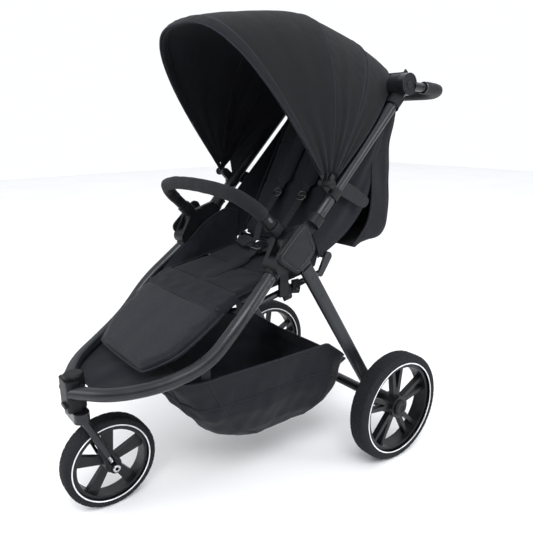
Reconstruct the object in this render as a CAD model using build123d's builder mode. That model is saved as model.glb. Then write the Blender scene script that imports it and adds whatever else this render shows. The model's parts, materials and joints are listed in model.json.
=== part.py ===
from build123d import *
import math
import os

# Three-wheeled jogging stroller, millimetres.
# +Z is up, -Y is the front, +X is the stroller's left.
# The origin is on the floor, midway across the width and along the length.

os.makedirs("parts", exist_ok=True)

# ---- driving dimensions: points in the side view are (y, z) ----
REAR_R = 150.0                  # rear wheel radius
REAR_W = 52.0                   # rear tyre width
REAR_X = 292.0                  # rear wheel mid-plane from the centre
REAR_AXLE = (280.0, 150.0)
FRONT_R = 115.0                 # front wheel radius
FRONT_W = 46.0                  # front tyre width
FRONT_AXLE = (-421.0, 115.0)
SWIVEL_Y = -485.0               # caster swivel axis
CASTER_LOW = 279.0              # caster housing, bottom and top
CASTER_TOP = 352.0

TUBE_R = 15.0                   # push tubes
HOOP_R = 15.5                   # front tubes
HINGE = (-25.0, 633.0)          # main fold axis
PUSH_LOW = (40.0, 668.6)        # push tube ends
PUSH_HIGH = (337.6, 974.8)
PUSH_X = 215.0
HANDLE = (330.0, 994.0)         # handle adjuster axis
GRIP_Y = 520.0                  # handlebar's crossbar
GRIP_Z = 978.0
GRIP_R = 16.0
LEG_X = 222.0
LEG_START = 74.0                # leg tube starts this far from the fold axis

CANOPY = (77.0, 765.0)          # canopy pivot axis
CREASE = (120.0, 575.0)         # backrest hinge axis
CALF = (-176.0, 497.0)          # leg rest hinge axis
BACK_ANGLE = 62.0               # backrest from the horizontal
BACK_LENGTH = 415.0
SEAT_X = 180.0                  # half width of the seat
FABRIC = 4.0                    # thickness of a fabric wall


# ---- helpers ----
def save(piece, name):
    """Label a finished piece and write it as its own STEP file."""
    piece.part.label = name
    export_step(piece.part, f"parts/{name}.step")


def side(x):
    """A plane across the stroller at x: local x is +Y and local y is +Z."""
    return Plane(origin=(x, 0, 0), x_dir=(0, 1, 0), z_dir=(1, 0, 0))


def polar(centre, radius, degrees):
    """The side-view point at a radius and an angle above +Y."""
    a = math.radians(degrees)
    return (centre[0] + radius * math.cos(a), centre[1] + radius * math.sin(a))


def both(points, sign=1):
    """The same points on the +X (sign 1) or -X (sign -1) side."""
    return [(sign * x, y, z) for x, y, z in points]


def loop(points):
    """A half path from +X to the centre, continued to its mirror image."""
    return points + [(-x, y, z) for x, y, z in points[-2::-1]]


def bend_radii(points):
    """The largest bend at each corner that its two runs leave room for."""
    radii = []
    for a, b, c in zip(points, points[1:], points[2:]):
        first = Vector(*b) - Vector(*a)
        second = Vector(*c) - Vector(*b)
        half_turn = math.radians(first.get_angle(second)) / 2
        radii.append(0.45 * min(first.length, second.length) / math.tan(half_turn))
    return radii


def rod(points, radius, bore=0.0, bends=None):
    """A tube along straight runs joined by tangent arcs."""
    with BuildPart() as piece:
        with BuildLine() as path:
            if len(points) == 2:
                Line(*points)
            else:
                FilletPolyline(*points, radius=bends or bend_radii(points))
        with BuildSketch(path.line ^ 0):
            Circle(radius)
            if bore:
                Circle(bore, mode=Mode.SUBTRACT)
        sweep(path=path.line)
    return piece.part


def cross_rod(centre, x0, x1, radius):
    """A round bar along X from x0 to x1."""
    with BuildPart() as piece:
        with BuildSketch(side(x0)):
            with Locations(centre):
                Circle(radius)
        extrude(amount=x1 - x0)
    return piece.part


def aim(start, end, x):
    """A plane at start in the side view, facing end, with local x along X."""
    direction = Vector(0, end[0] - start[0], end[1] - start[1]).normalized()
    return Plane(origin=(x, *start), x_dir=(1, 0, 0), z_dir=direction)


def half_arch(half_width, height, power, count=9):
    """Points of a superellipse from its +X foot to its top."""
    points = []
    for i in range(count):
        t = math.pi / 2 * i / (count - 1)
        x = half_width * math.cos(t) ** (2 / power)
        z = height * math.sin(t) ** (2 / power)
        points.append((x, z))
    return points


def arch(half_width, height, power):
    """A whole superellipse arch from its +X foot to its -X foot."""
    right = half_arch(half_width, height, power)
    return right + [(-x, z) for x, z in right[-2::-1]]


def canopy_plane(tilt):
    """The plane through the canopy pivots, leaning back by tilt degrees."""
    a = math.radians(tilt)
    normal = (0, -math.cos(a), math.sin(a))
    return Plane(origin=(0, *CANOPY), x_dir=(1, 0, 0), z_dir=normal)


def arch_face(half_width, height, power, wall, foot):
    """A band between two arches, cut off at its feet."""
    with BuildSketch() as face:
        with BuildLine():
            outer = Spline(*arch(half_width, height, power))
            inner = Spline(*arch(half_width - wall, height - wall, power))
            Line(outer @ 0, inner @ 0)
            Line(outer @ 1, inner @ 1)
        make_face()
        if foot:
            with Locations((0, foot / 2)):
                Rectangle(4 * half_width, foot, mode=Mode.SUBTRACT)
    return face.sketch


# ---- front tubes, caster housing ----
HOOP_PATH = [
    (207, -64, 577),
    (231, -188, 474),
    (221, -262, 397),
    (180, -352, 358),
    (118, -440, 338),
    (19, -498, 325),
]
for sign, name in ((1, "left"), (-1, "right")):
    with BuildPart() as front_tube:
        add(rod(both(HOOP_PATH, sign), HOOP_R))
    save(front_tube, f"front_tube_{name}")

with BuildPart() as hoop_both:
    add(rod(HOOP_PATH, HOOP_R))
    add(rod(both(HOOP_PATH, -1), HOOP_R))

with BuildPart() as caster_housing:
    with BuildSketch(Plane.XY.offset(CASTER_LOW)):
        with Locations((0, SWIVEL_Y)):
            Circle(24)
        with Locations((0, SWIVEL_Y - 9)):
            RectangleRounded(62, 34, 10)
    extrude(amount=CASTER_TOP - CASTER_LOW)
    with BuildSketch(Plane.XY.offset(CASTER_LOW - 1)):
        with Locations((0, SWIVEL_Y)):
            Circle(8.05)
    extrude(amount=62, mode=Mode.SUBTRACT)
    add(hoop_both.part, mode=Mode.SUBTRACT)
save(caster_housing, "caster_housing")

with BuildPart() as caster_cap:
    with BuildSketch(Plane.XY.offset(CASTER_TOP)):
        with Locations((0, SWIVEL_Y)):
            Circle(23)
    extrude(amount=12)
    fillet(caster_cap.edges().filter_by(GeomType.CIRCLE).sort_by(Axis.Z)[-1], 6)
save(caster_cap, "caster_cap")

# ---- main hinge on each side ----
CHEEK_IN = (190.0, 203.0)       # x of the inner cheek
CHEEK_OUT = (229.0, 240.0)      # x of the outer cheek
PUSH_PLATE = (203.5, 215.5)     # x of the push tube's hinge plate
LEG_PLATE = (216.0, 228.0)      # x of the rear leg's hinge plate
PIN_R = 5.0
RUN = 0.05                      # radial clearance of a running fit
BRIDGE = (-68.0, 590.0)         # where both cheeks meet the front tube
COLLAR_AT = Vector(*HOOP_PATH[0])
COLLAR_AXIS = (Vector(*HOOP_PATH[1]) - COLLAR_AT).normalized()

with BuildPart() as hinge_housings:
    for x0, x1 in (CHEEK_IN, CHEEK_OUT):
        with BuildSketch(side(x0)):
            with Locations(HINGE):
                Circle(36)
            with Locations(BRIDGE):
                Circle(20)
            make_hull()
            with Locations(HINGE):
                Circle(PIN_R, mode=Mode.SUBTRACT)
        extrude(amount=x1 - x0)
    with BuildSketch(side(CHEEK_IN[0])):
        with Locations(BRIDGE):
            Circle(20)
    extrude(amount=CHEEK_OUT[1] - CHEEK_IN[0])
    with BuildSketch(side(CHEEK_IN[0])):
        with Locations((-30, 555)):
            Rectangle(26, 110)
        with Locations(HINGE):
            Circle(37, mode=Mode.SUBTRACT)
    extrude(amount=8)
    with BuildSketch(Plane(origin=COLLAR_AT + COLLAR_AXIS * 6, z_dir=COLLAR_AXIS)):
        Circle(HOOP_R + 3)
    extrude(amount=17)
    add(hoop_both.part, mode=Mode.SUBTRACT)
    mirror(about=Plane.YZ)
save(hinge_housings, "hinge_housings")


def cover_outline(inset):
    """The rounded kite of the hinge cover, pulled in by inset."""
    corners = [(-13, 668, 16), (-68, 613, 19), (-32, 588, 20), (-2, 622, 25)]
    for y, z, r in corners:
        with Locations((y, z)):
            Circle(r - inset)
    make_hull()


with BuildPart() as hinge_covers:
    with BuildSketch(side(CHEEK_OUT[1])):
        cover_outline(0)
    extrude(amount=11)
    rim = hinge_covers.faces().sort_by(Axis.X)[-1].edges()
    fillet(rim, 6)
    with BuildSketch(side(CHEEK_OUT[1] + 9)):
        cover_outline(9)
    extrude(amount=6, mode=Mode.SUBTRACT)
    mirror(about=Plane.YZ)
save(hinge_covers, "hinge_covers")

with BuildPart() as hinge_pads:
    with BuildSketch(side(CHEEK_OUT[1] + 9)):
        cover_outline(9.2)
    extrude(amount=2.6)
    mirror(about=Plane.YZ)
save(hinge_pads, "hinge_pads")

with BuildPart() as hinge_pins:
    add(cross_rod(HINGE, CHEEK_IN[0], CHEEK_OUT[1], PIN_R))
    add(cross_rod(HINGE, CHEEK_IN[0] - 3, CHEEK_IN[0], 9))
    mirror(about=Plane.YZ)
save(hinge_pins, "hinge_pins")

# ---- bumper bar: sockets on the housings, plugs that lift out of them ----
SOCKET_AXIS = (-1 / math.sqrt(2), 1 / math.sqrt(2))
SOCKET = (HINGE[0] + 42 * SOCKET_AXIS[0], HINGE[1] + 42 * SOCKET_AXIS[1])
SOCKET_LENGTH = 24.0
BUMPER_X = 203.0
PLUG_R = 9.0
MOUTH = tuple(s + SOCKET_LENGTH * a for s, a in zip(SOCKET, SOCKET_AXIS))
with BuildPart() as bumper_sockets:
    with BuildSketch(aim(SOCKET, MOUTH, BUMPER_X)):
        RectangleRounded(35, 35, 12)
    extrude(amount=SOCKET_LENGTH)
    with BuildSketch(side(CHEEK_IN[0])):
        with Locations(SOCKET):
            Rectangle(24, 24, rotation=45)
        with Locations(HINGE):
            Circle(36, mode=Mode.SUBTRACT)
    extrude(amount=12)
    with BuildSketch(aim(SOCKET, MOUTH, BUMPER_X).offset(5)):
        Circle(PLUG_R + RUN)
    extrude(amount=SOCKET_LENGTH, mode=Mode.SUBTRACT)
    add(hinge_housings.part, mode=Mode.SUBTRACT)
    mirror(about=Plane.YZ)
save(bumper_sockets, "bumper_sockets")

BUMPER_PATH = [
    (203, -72, 680),
    (202, -114, 722),
    (170, -139, 747),
    (96, -150, 759),
    (0, -152, 762),
]
START = Vector(*BUMPER_PATH[0])
END_RUN = (Vector(*BUMPER_PATH[1]) - START).normalized()
BUMPER_BENDS = bend_radii(loop(BUMPER_PATH))
BUMPER_R = 10.0
BUMPER_END_R = 15.0
BUMPER_END_LENGTH = 30.0
SLEEVE_R = 16.0
BUTTON_AT = START + END_RUN * 20
with BuildPart() as bumper_bar:
    add(rod(loop([tuple(START + END_RUN)] + BUMPER_PATH[1:]), BUMPER_R, 0, BUMPER_BENDS))
    for sign in (1, -1):
        end_plane = Plane(
            origin=(sign * START.X, START.Y, START.Z),
            z_dir=(sign * END_RUN.X, END_RUN.Y, END_RUN.Z),
        )
        with BuildSketch(end_plane.offset(1)):
            Circle(BUMPER_END_R)
        extrude(amount=BUMPER_END_LENGTH)
        with BuildSketch(aim(MOUTH, SOCKET, sign * BUMPER_X).offset(-5)):
            Circle(PLUG_R)
        extrude(amount=SOCKET_LENGTH - 3)
        button_plane = Plane(
            origin=(sign * (BUTTON_AT.X + 6), BUTTON_AT.Y, BUTTON_AT.Z),
            x_dir=(0, -1, 1),
            z_dir=(sign, 0, 0),
        )
        with BuildSketch(button_plane):
            SlotOverall(15.4, 8.4)
        extrude(amount=20, mode=Mode.SUBTRACT)
save(bumper_bar, "bumper_bar")

with BuildPart() as bumper_sleeve:
    sleeve_path = [tuple(START + END_RUN * (BUMPER_END_LENGTH + 1.2))] + BUMPER_PATH[1:]
    add(rod(loop(sleeve_path), SLEEVE_R, BUMPER_R, BUMPER_BENDS))
save(bumper_sleeve, "bumper_sleeve")

for sign, name in ((1, "left"), (-1, "right")):
    with BuildPart() as bumper_button:
        button_plane = Plane(
            origin=(sign * (BUTTON_AT.X + 6), BUTTON_AT.Y, BUTTON_AT.Z),
            x_dir=(0, -1, 1),
            z_dir=(sign, 0, 0),
        )
        with BuildSketch(button_plane.offset(3)):
            SlotOverall(15, 8)
        extrude(amount=6.8)
    save(bumper_button, f"bumper_button_{name}")

# ---- push frame ----
PUSH_END = (PUSH_X, *PUSH_HIGH)
for sign, name in ((1, "left"), (-1, "right")):
    with BuildPart() as push_tube:
        add(rod(both([(PUSH_X, *PUSH_LOW), PUSH_END], sign), TUBE_R))
    save(push_tube, f"push_tube_{name}")
push_run = aim(PUSH_LOW, PUSH_HIGH, PUSH_X)

with BuildPart() as push_knuckles:
    with BuildSketch(side(PUSH_PLATE[0])):
        with Locations(HINGE):
            Circle(33)
        with Locations(PUSH_LOW):
            Circle(17)
        make_hull()
        with Locations(HINGE):
            Circle(PIN_R + RUN, mode=Mode.SUBTRACT)
    extrude(amount=PUSH_PLATE[1] - PUSH_PLATE[0])
    with BuildSketch(push_run):
        Circle(TUBE_R + 3.5)
    extrude(amount=26)
    with BuildSketch(push_run):
        Circle(TUBE_R)
    extrude(amount=60, mode=Mode.SUBTRACT)
    mirror(about=Plane.YZ)
save(push_knuckles, "push_knuckles")

PIVOT_R = 27.0
HOUSING_X = (198.0, 230.5)      # fixed half of the handle adjuster
ARM_X = (231.0, 250.0)          # half that turns with the handlebar
with BuildPart() as handle_pivots:
    with BuildSketch(side(HOUSING_X[0])):
        with Locations(HANDLE):
            Circle(PIVOT_R)
    extrude(amount=HOUSING_X[1] - HOUSING_X[0])
    with BuildSketch(push_run.offset(382)):
        Circle(TUBE_R + 3.5)
    extrude(amount=34)
    with BuildSketch(side(HOUSING_X[1])):
        with Locations(HANDLE):
            Circle(60)
    extrude(amount=30, mode=Mode.SUBTRACT)
    with BuildSketch(push_run):
        Circle(TUBE_R)
    extrude(amount=428, mode=Mode.SUBTRACT)
    mirror(about=Plane.YZ)
save(handle_pivots, "handle_pivots")

CLIP = (106.2, 736.7)           # where the canopy clip holds the push tube
CLIP_X = (206.0, 220.0)
CLIP_PIN_R = 4.0
with BuildPart() as canopy_clips:
    with BuildSketch(aim(CLIP, PUSH_HIGH, PUSH_X).offset(-13)):
        Circle(TUBE_R + 4)
    extrude(amount=26)
    with BuildSketch(side(CLIP_X[0])):
        with Locations(CANOPY):
            Circle(11)
        with Locations(CLIP):
            Circle(13)
        make_hull()
    extrude(amount=CLIP_X[1] - CLIP_X[0])
    add(cross_rod(CANOPY, CLIP_X[1], 239, CLIP_PIN_R))
    add(cross_rod(CANOPY, 239, 244, 11))
    with BuildSketch(push_run):
        Circle(TUBE_R)
    extrude(amount=400, mode=Mode.SUBTRACT)
    mirror(about=Plane.YZ)
save(canopy_clips, "canopy_clips")

TAB = [(116, 738), (150, 772), (240, 724), (205, 683)]
with BuildPart() as side_tabs:
    with BuildSketch(side(213.5)):
        with BuildLine():
            Polyline(*TAB, close=True)
        make_face()
        with Locations((200, 712)):
            Circle(5, mode=Mode.SUBTRACT)
    extrude(amount=3)
    with BuildSketch(push_run):
        Circle(TUBE_R)
    extrude(amount=400, mode=Mode.SUBTRACT)
    add(canopy_clips.part, mode=Mode.SUBTRACT)
    mirror(about=Plane.YZ)
save(side_tabs, "side_tabs")

FLAP_X = 193.0
FLAP_BACK = [
    (398, 1030),
    (372, 930),
    (345, 842),
    (350, 749),
    (358, 662),
    (350, 606),
    (287, 590),
    (195, 583),
]
FLAP_FRONT = [(222, 602), (262, 645), (275, 704), (271, 771), (262, 820), (310, 930), (384, 1034)]
FLAP_CAVITY = [
    (393, 1045),
    (366, 932),
    (339, 843),
    (345, 749),
    (352, 664),
    (345, 612),
    (285, 596),
    (120, 588),
    (120, 1045),
]
with BuildPart() as rear_flap:
    with BuildSketch(side(-FLAP_X)):
        with BuildLine():
            Polyline(*FLAP_BACK, *FLAP_FRONT, close=True)
        make_face()
    extrude(amount=2 * FLAP_X)
    with BuildSketch(side(-FLAP_X + FABRIC)):
        with BuildLine():
            Polyline(*FLAP_CAVITY, close=True)
        make_face()
    extrude(amount=2 * (FLAP_X - FABRIC), mode=Mode.SUBTRACT)
save(rear_flap, "rear_flap")

# ---- handlebar ----
BAR_R = 11.0
HANDLE_PATH = [(243, 350, 990), (238, 458, 983), (180, GRIP_Y, GRIP_Z)]
whole_bar = HANDLE_PATH + both(HANDLE_PATH[::-1], -1)
BAR_BENDS = bend_radii(whole_bar)
arm_start = Vector(*HANDLE_PATH[0])
arm_run = Vector(*HANDLE_PATH[1]) - arm_start
whole_grip = [tuple(arm_start + arm_run * 0.42)] + HANDLE_PATH[1:]
whole_grip = whole_grip + both(whole_grip[::-1], -1)
BUTTON_R = 8.0
with BuildPart() as handlebar:
    add(rod(whole_bar, BAR_R, 0, BAR_BENDS))
    for x in (ARM_X[0], -ARM_X[1]):
        with BuildSketch(side(x)):
            with Locations(HANDLE):
                Circle(PIVOT_R)
        extrude(amount=ARM_X[1] - ARM_X[0])
    for x in (ARM_X[1] - 8, -ARM_X[1]):
        with BuildSketch(side(x)):
            with Locations(HANDLE):
                Circle(BUTTON_R + 0.1)
        extrude(amount=8, mode=Mode.SUBTRACT)
save(handlebar, "handlebar")

with BuildPart() as handlebar_grip:
    add(rod(whole_grip, GRIP_R, BAR_R, BAR_BENDS))
save(handlebar_grip, "handlebar_grip")

for sign, name in ((1, "left"), (-1, "right")):
    with BuildPart() as handle_button:
        x0 = ARM_X[1] - 5 if sign > 0 else -ARM_X[1] - 1
        add(cross_rod(HANDLE, x0, x0 + 6, BUTTON_R))
    save(handle_button, f"handle_button_{name}")

# ---- canopy: three bows and three fabric panels ----
# half width, height and squareness of each bow, and its lean back in degrees
BOWS = {
    "canopy_front_bow": (224.0, 434.0, 2.77, -33.9),
    "canopy_mid_bow": (230.0, 402.0, 2.5, 8.1),
    "canopy_rear_bow": (236.0, 410.0, 2.5, 30.7),
}
BOW_WALL = 2.4
BOW_WIDTH = 12.0
EYE_PROUD = 0.2                 # the pivot eyes are this much thicker than the bow
for name, (half_width, height, power, tilt) in BOWS.items():
    with BuildPart() as bow:
        with BuildSketch(canopy_plane(tilt)):
            add(arch_face(half_width, height, power, BOW_WALL, 0))
        extrude(amount=BOW_WIDTH / 2, both=True)
        for x in (half_width - BOW_WALL - EYE_PROUD, -half_width - EYE_PROUD):
            with BuildSketch(side(x)):
                with Locations(CANOPY):
                    Circle(9)
            extrude(amount=BOW_WALL + 2 * EYE_PROUD)
        for x in (half_width - 4, -half_width - 1):
            with BuildSketch(side(x)):
                with Locations(CANOPY):
                    Circle(CLIP_PIN_R + RUN)
            extrude(amount=5, mode=Mode.SUBTRACT)
    save(bow, name)

# fabric stations: lean back in degrees, inner half width, inner height, squareness
GAP = 0.4                       # the fabric's clearance over the bows
FRONT_PANEL = [
    (-35.4, 224, 434.4, 2.77),
    (-32.6, 224, 434.4, 2.77),
    (-26, 225, 421, 2.7),
    (-18, 226, 410, 2.65),
    (-10, 228, 404.5, 2.6),
    (-3, 230.4, 402.6, 2.5),
    (7.8, 230.4, 402.6, 2.5),
]
MID_PANEL = [
    (8.4, 230.4, 402.6, 2.5),
    (14, 233.4, 402.2, 2.5),
    (19.5, 236.6, 404.4, 2.5),
    (25, 236.6, 408, 2.5),
    (29, 236.6, 411.4, 2.5),
    (30.4, 236.6, 411.4, 2.5),
]
REAR_PANEL = [
    (31, 236.6, 411.4, 2.5),
    (37, 236, 424, 2.5),
    (43, 236, 437, 2.5),
    (48.5, 236, 445, 2.5),
]
PANEL_FOOT = 16.0
for name, stations in (
    ("canopy_front_panel", FRONT_PANEL),
    ("canopy_mid_panel", MID_PANEL),
    ("canopy_rear_panel", REAR_PANEL),
):
    with BuildPart() as panel:
        for tilt, half_width, height, power in stations:
            reach = GAP + FABRIC
            face = arch_face(half_width + reach, height + reach, power, FABRIC, 2 * PANEL_FOOT)
            with BuildSketch(canopy_plane(tilt)):
                add(face)
        loft(ruled=True)
    save(panel, name)

# ---- seat ----
SEAT_TUBE_R = 8.0
SEAT_TUBE_X = 182.0
SEAT_REAR = (96.0, 534.0)
SEAT_FRONT = (-158.0, 480.0)
HINGE_BAR_R = 7.0
CALF_ROD_R = 6.0
half_seat = [(SEAT_TUBE_X, *SEAT_REAR), (SEAT_TUBE_X, *SEAT_FRONT)]
with BuildPart() as seat_frame:
    add(rod(half_seat + both(half_seat[::-1], -1), SEAT_TUBE_R, 0, [40, 40]))
    for x in (183, -190):
        with BuildSketch(side(x)):
            with Locations(CREASE):
                Circle(12)
            with Locations(SEAT_REAR):
                Circle(8)
            make_hull()
            with Locations(CREASE):
                Circle(HINGE_BAR_R + RUN, mode=Mode.SUBTRACT)
        extrude(amount=7)
    for x in (128, -134):
        with BuildSketch(side(x)):
            with Locations(CALF):
                Circle(11)
            with Locations(SEAT_FRONT):
                Circle(8)
            make_hull()
            with Locations(CALF):
                Circle(CALF_ROD_R + RUN, mode=Mode.SUBTRACT)
        extrude(amount=6)
save(seat_frame, "seat_frame")

SEAT_TOP = [(-156, 514), (96, 560)]


def seat_height(y):
    """Height of the seat's top surface at y."""
    (y0, z0), (y1, z1) = SEAT_TOP
    return z0 + (z1 - z0) * (y - y0) / (y1 - y0)


PAD_X = 172.0
with BuildPart() as seat_pad:
    with BuildSketch(side(-PAD_X)):
        with BuildLine():
            Polyline(*SEAT_TOP, (96, 538), (-156, 492), close=True)
        make_face()
    extrude(amount=2 * PAD_X)
    fillet(seat_pad.edges().filter_by(Axis.X), 7)
save(seat_pad, "seat_pad")

WING = [(-146, 502), (-62, 585), (-30, 622), (60, 668), (104, 650), (98, 594), (88, 550)]
with BuildPart() as side_wings:
    with BuildSketch(side(182.5)):
        with BuildLine():
            Polyline(*WING, close=True)
        make_face()
        with Locations(CREASE):
            Circle(16, mode=Mode.SUBTRACT)
    extrude(amount=FABRIC)
    add(seat_frame.part, mode=Mode.SUBTRACT)
    add(hinge_pins.part, mode=Mode.SUBTRACT)
    mirror(about=Plane.YZ)
save(side_wings, "side_wings")

BUCKLE = Plane(origin=(0, 44, 578), x_dir=(1, 0, 0), z_dir=(0, -0.35, 1))
with BuildPart() as harness_buckle:
    with BuildSketch(BUCKLE.offset(-8)):
        RectangleRounded(44, 42, 12)
    extrude(amount=16)
    fillet(harness_buckle.edges().group_by(Axis.Z)[-1], 3)
    with BuildSketch(BUCKLE.offset(3)):
        Circle(9.1)
    extrude(amount=10, mode=Mode.SUBTRACT)
save(harness_buckle, "harness_buckle")

with BuildPart() as buckle_button:
    with BuildSketch(BUCKLE.offset(5.5)):
        Circle(9)
    extrude(amount=4)
save(buckle_button, "buckle_button")

LAP = Plane(origin=(88, 62, seat_height(62) + 13), x_dir=(1, 0.12, 0), z_dir=(0, -0.2, 1))
STRAP_GAP = 0.6
with BuildPart() as lap_harness:
    with BuildSketch(LAP):
        RectangleRounded(118, 38, 14)
    extrude(amount=10)
    mirror(about=Plane.YZ)
    with BuildSketch(side(-20)):
        with BuildLine():
            lower = [(y, seat_height(y) + STRAP_GAP) for y in (-146, 0, 19)]
            upper = [(y, z + 4) for y, z in lower[::-1]]
            Polyline(*lower, *upper, close=True)
        make_face()
    extrude(amount=40)
save(lap_harness, "lap_harness")

with BuildPart() as fat_hoop:
    add(rod(HOOP_PATH, HOOP_R + 1.5))
    add(rod(both(HOOP_PATH, -1), HOOP_R + 1.5))
FOOTWELL_TILT = 0.2             # how steeply the footwell drops towards the front
with BuildPart() as footwell:
    with BuildSketch(Plane(origin=(0, -300, 362), x_dir=(1, 0, 0), z_dir=(0, -FOOTWELL_TILT, 1))):
        with BuildLine():
            Polyline(
                (190, 0),
                (172, -68),
                (132, -120),
                (66, -158),
                (-66, -158),
                (-132, -120),
                (-172, -68),
                (-190, 0),
                close=True,
            )
        make_face()
    extrude(amount=-FABRIC)
    add(fat_hoop.part, mode=Mode.SUBTRACT)
    add(caster_housing.part, mode=Mode.SUBTRACT)
save(footwell, "footwell")

# ---- basket under the seat: height, centre y, half length, half width ----
BASKET = [
    (98, 25, 72, 96),
    (122, 8, 140, 138),
    (160, -8, 190, 166),
    (225, -25, 240, 190),
    (346, -42, 288, 197),
]


def basket_shape(inset, lift):
    """The basket's outside, or its inside when inset and lifted."""
    with BuildPart() as shape:
        for z, centre, half_length, half_width in BASKET:
            with BuildSketch(Plane.XY.offset(z + lift)):
                with Locations((0, centre)):
                    RectangleRounded(
                        2 * (half_width - inset),
                        2 * (half_length - inset),
                        0.42 * half_width,
                    )
        loft(ruled=True)
    return shape.part


with BuildPart() as basket:
    add(basket_shape(0, 0))
    add(basket_shape(FABRIC, FABRIC), mode=Mode.SUBTRACT)
    with BuildSketch(side(-250)):
        with BuildLine():
            Polyline(
                (-400, 344),
                (-400, 400),
                (300, 400),
                (300, 232),
                (262, 232),
                (118, 340),
                close=True,
            )
        make_face()
    extrude(amount=500, mode=Mode.SUBTRACT)
save(basket, "basket")

with BuildPart() as frame_rivets:
    for along in (34, 50):
        at = COLLAR_AT + COLLAR_AXIS * along
        facing = Plane(origin=at + Vector(1, 0, 0) * HOOP_R, z_dir=(1, 0, 0))
        with BuildSketch(facing.offset(-1)):
            Circle(3.4)
        extrude(amount=2.4)
    add(hoop_both.part, mode=Mode.SUBTRACT)
    mirror(about=Plane.YZ)
save(frame_rivets, "frame_rivets")

# ---- backrest ----
with BuildPart() as back_hinge_bar:
    add(cross_rod(CREASE, -190, 190, HINGE_BAR_R))
save(back_hinge_bar, "back_hinge_bar")

BACK_TOP = polar(CREASE, BACK_LENGTH, BACK_ANGLE)
BACK_WALL = 17.0                # half of the backrest's thickness
back_plane = aim(CREASE, BACK_TOP, 0)
with BuildPart() as backrest_pad:
    with BuildSketch(back_plane.offset(16)):
        RectangleRounded(2 * PAD_X, 2 * BACK_WALL, 8)
    extrude(amount=BACK_LENGTH - 16)
    with BuildSketch(back_plane):
        Rectangle(2 * PAD_X, HINGE_BAR_R * 2 + 4)
    extrude(amount=20)
    add(cross_rod(CREASE, -180, 180, HINGE_BAR_R + RUN), mode=Mode.SUBTRACT)
save(backrest_pad, "backrest_pad")

STRAP_HIGH = (258.0, 880.0)
STRAP_LOW = (70.0, 614.0)
strap_plane = aim(STRAP_LOW, STRAP_HIGH, 0)
with BuildPart() as shoulder_straps:
    with BuildSketch(Plane(origin=(52, *STRAP_LOW), x_dir=(1, 0, 0), z_dir=strap_plane.z_dir)):
        Rectangle(28, 3)
    extrude(amount=318)
    with BuildSketch(Plane(origin=(52, *STRAP_LOW), x_dir=(1, 0, 0), z_dir=strap_plane.z_dir).offset(60)):
        RectangleRounded(50, 14, 6)
    extrude(amount=170)
    mirror(about=Plane.YZ)
save(shoulder_straps, "shoulder_straps")

# ---- leg rest ----
CALF_END = (-372.0, 370.0)
calf_plane = aim(CALF, CALF_END, 0)
CALF_LENGTH = math.dist(CALF, CALF_END)
CALF_SLOPE = math.degrees(math.atan2(CALF_END[1] - CALF[1], CALF_END[0] - CALF[0]))
with BuildPart() as leg_rest_pad:
    with BuildSketch(Plane(origin=(0, *CALF), x_dir=(1, 0, 0), z_dir=calf_plane.y_dir).offset(-10)):
        with BuildLine():
            Polyline(
                (183, -17),
                (183, -100),
                (172, -165),
                (120, -CALF_LENGTH),
                (-120, -CALF_LENGTH),
                (-172, -165),
                (-183, -100),
                (-183, -17),
                close=True,
            )
        make_face()
        fillet(vertices(), 24)
    extrude(amount=20)
save(leg_rest_pad, "leg_rest_pad")

with BuildPart() as leg_rest_hinge:
    add(cross_rod(CALF, -140, 140, CALF_ROD_R))
    for x in (-114, 104):
        with BuildSketch(side(x)):
            with Locations(CALF):
                Circle(10)
            with Locations(polar(CALF, 22, CALF_SLOPE)):
                Circle(7)
            make_hull()
        extrude(amount=10)
    add(leg_rest_pad.part, mode=Mode.SUBTRACT)
save(leg_rest_hinge, "leg_rest_hinge")

# ---- rear legs, axle beam and brake ----
LEG_ANGLE = math.degrees(math.atan2(REAR_AXLE[1] - HINGE[1], REAR_AXLE[0] - HINGE[0]))
LEG_TOP = polar(HINGE, LEG_START, LEG_ANGLE)
leg_run = aim(LEG_TOP, REAR_AXLE, LEG_X)
AXLE_R = 6.0
BEAM_R = 14.0
with BuildPart() as rear_legs:
    with BuildSketch(side(LEG_PLATE[0])):
        with Locations(HINGE):
            Circle(33)
        with Locations(LEG_TOP):
            Circle(15)
        make_hull()
        with Locations(HINGE):
            Circle(PIN_R + RUN, mode=Mode.SUBTRACT)
    extrude(amount=LEG_PLATE[1] - LEG_PLATE[0])
    with BuildSketch(leg_run):
        RectangleRounded(20, 36, 9)
    extrude(amount=476)
    mirror(about=Plane.YZ)
save(rear_legs, "rear_legs")

HUB_X = (268.0, 312.0)          # the wheel hub along X
with BuildPart() as rear_axle:
    add(cross_rod(REAR_AXLE, -211, 211, BEAM_R))
    add(cross_rod(REAR_AXLE, -HUB_X[1], HUB_X[1], AXLE_R))
save(rear_axle, "rear_axle")

with BuildPart() as brake_housings:
    add(cross_rod(REAR_AXLE, 208, 262, 25))
    with BuildSketch(leg_run.offset(430)):
        RectangleRounded(26, 42, 9)
    extrude(amount=46)
    add(rear_legs.part, mode=Mode.SUBTRACT)
    add(rear_axle.part, mode=Mode.SUBTRACT)
    mirror(about=Plane.YZ)
save(brake_housings, "brake_housings")

PEDAL_ANGLE = 22.0
with BuildPart() as brake_pedal:
    with BuildSketch(side(-34)):
        with Locations(REAR_AXLE):
            Circle(20)
        with Locations(polar(REAR_AXLE, 12, PEDAL_ANGLE)):
            Rectangle(66, 7, rotation=PEDAL_ANGLE, align=(Align.MIN, Align.CENTER))
        with Locations(REAR_AXLE):
            Circle(BEAM_R + RUN, mode=Mode.SUBTRACT)
    extrude(amount=68)
    fillet(brake_pedal.edges().filter_by(Axis.X).sort_by(Axis.Y)[-2:], 3)
save(brake_pedal, "brake_pedal")


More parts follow.
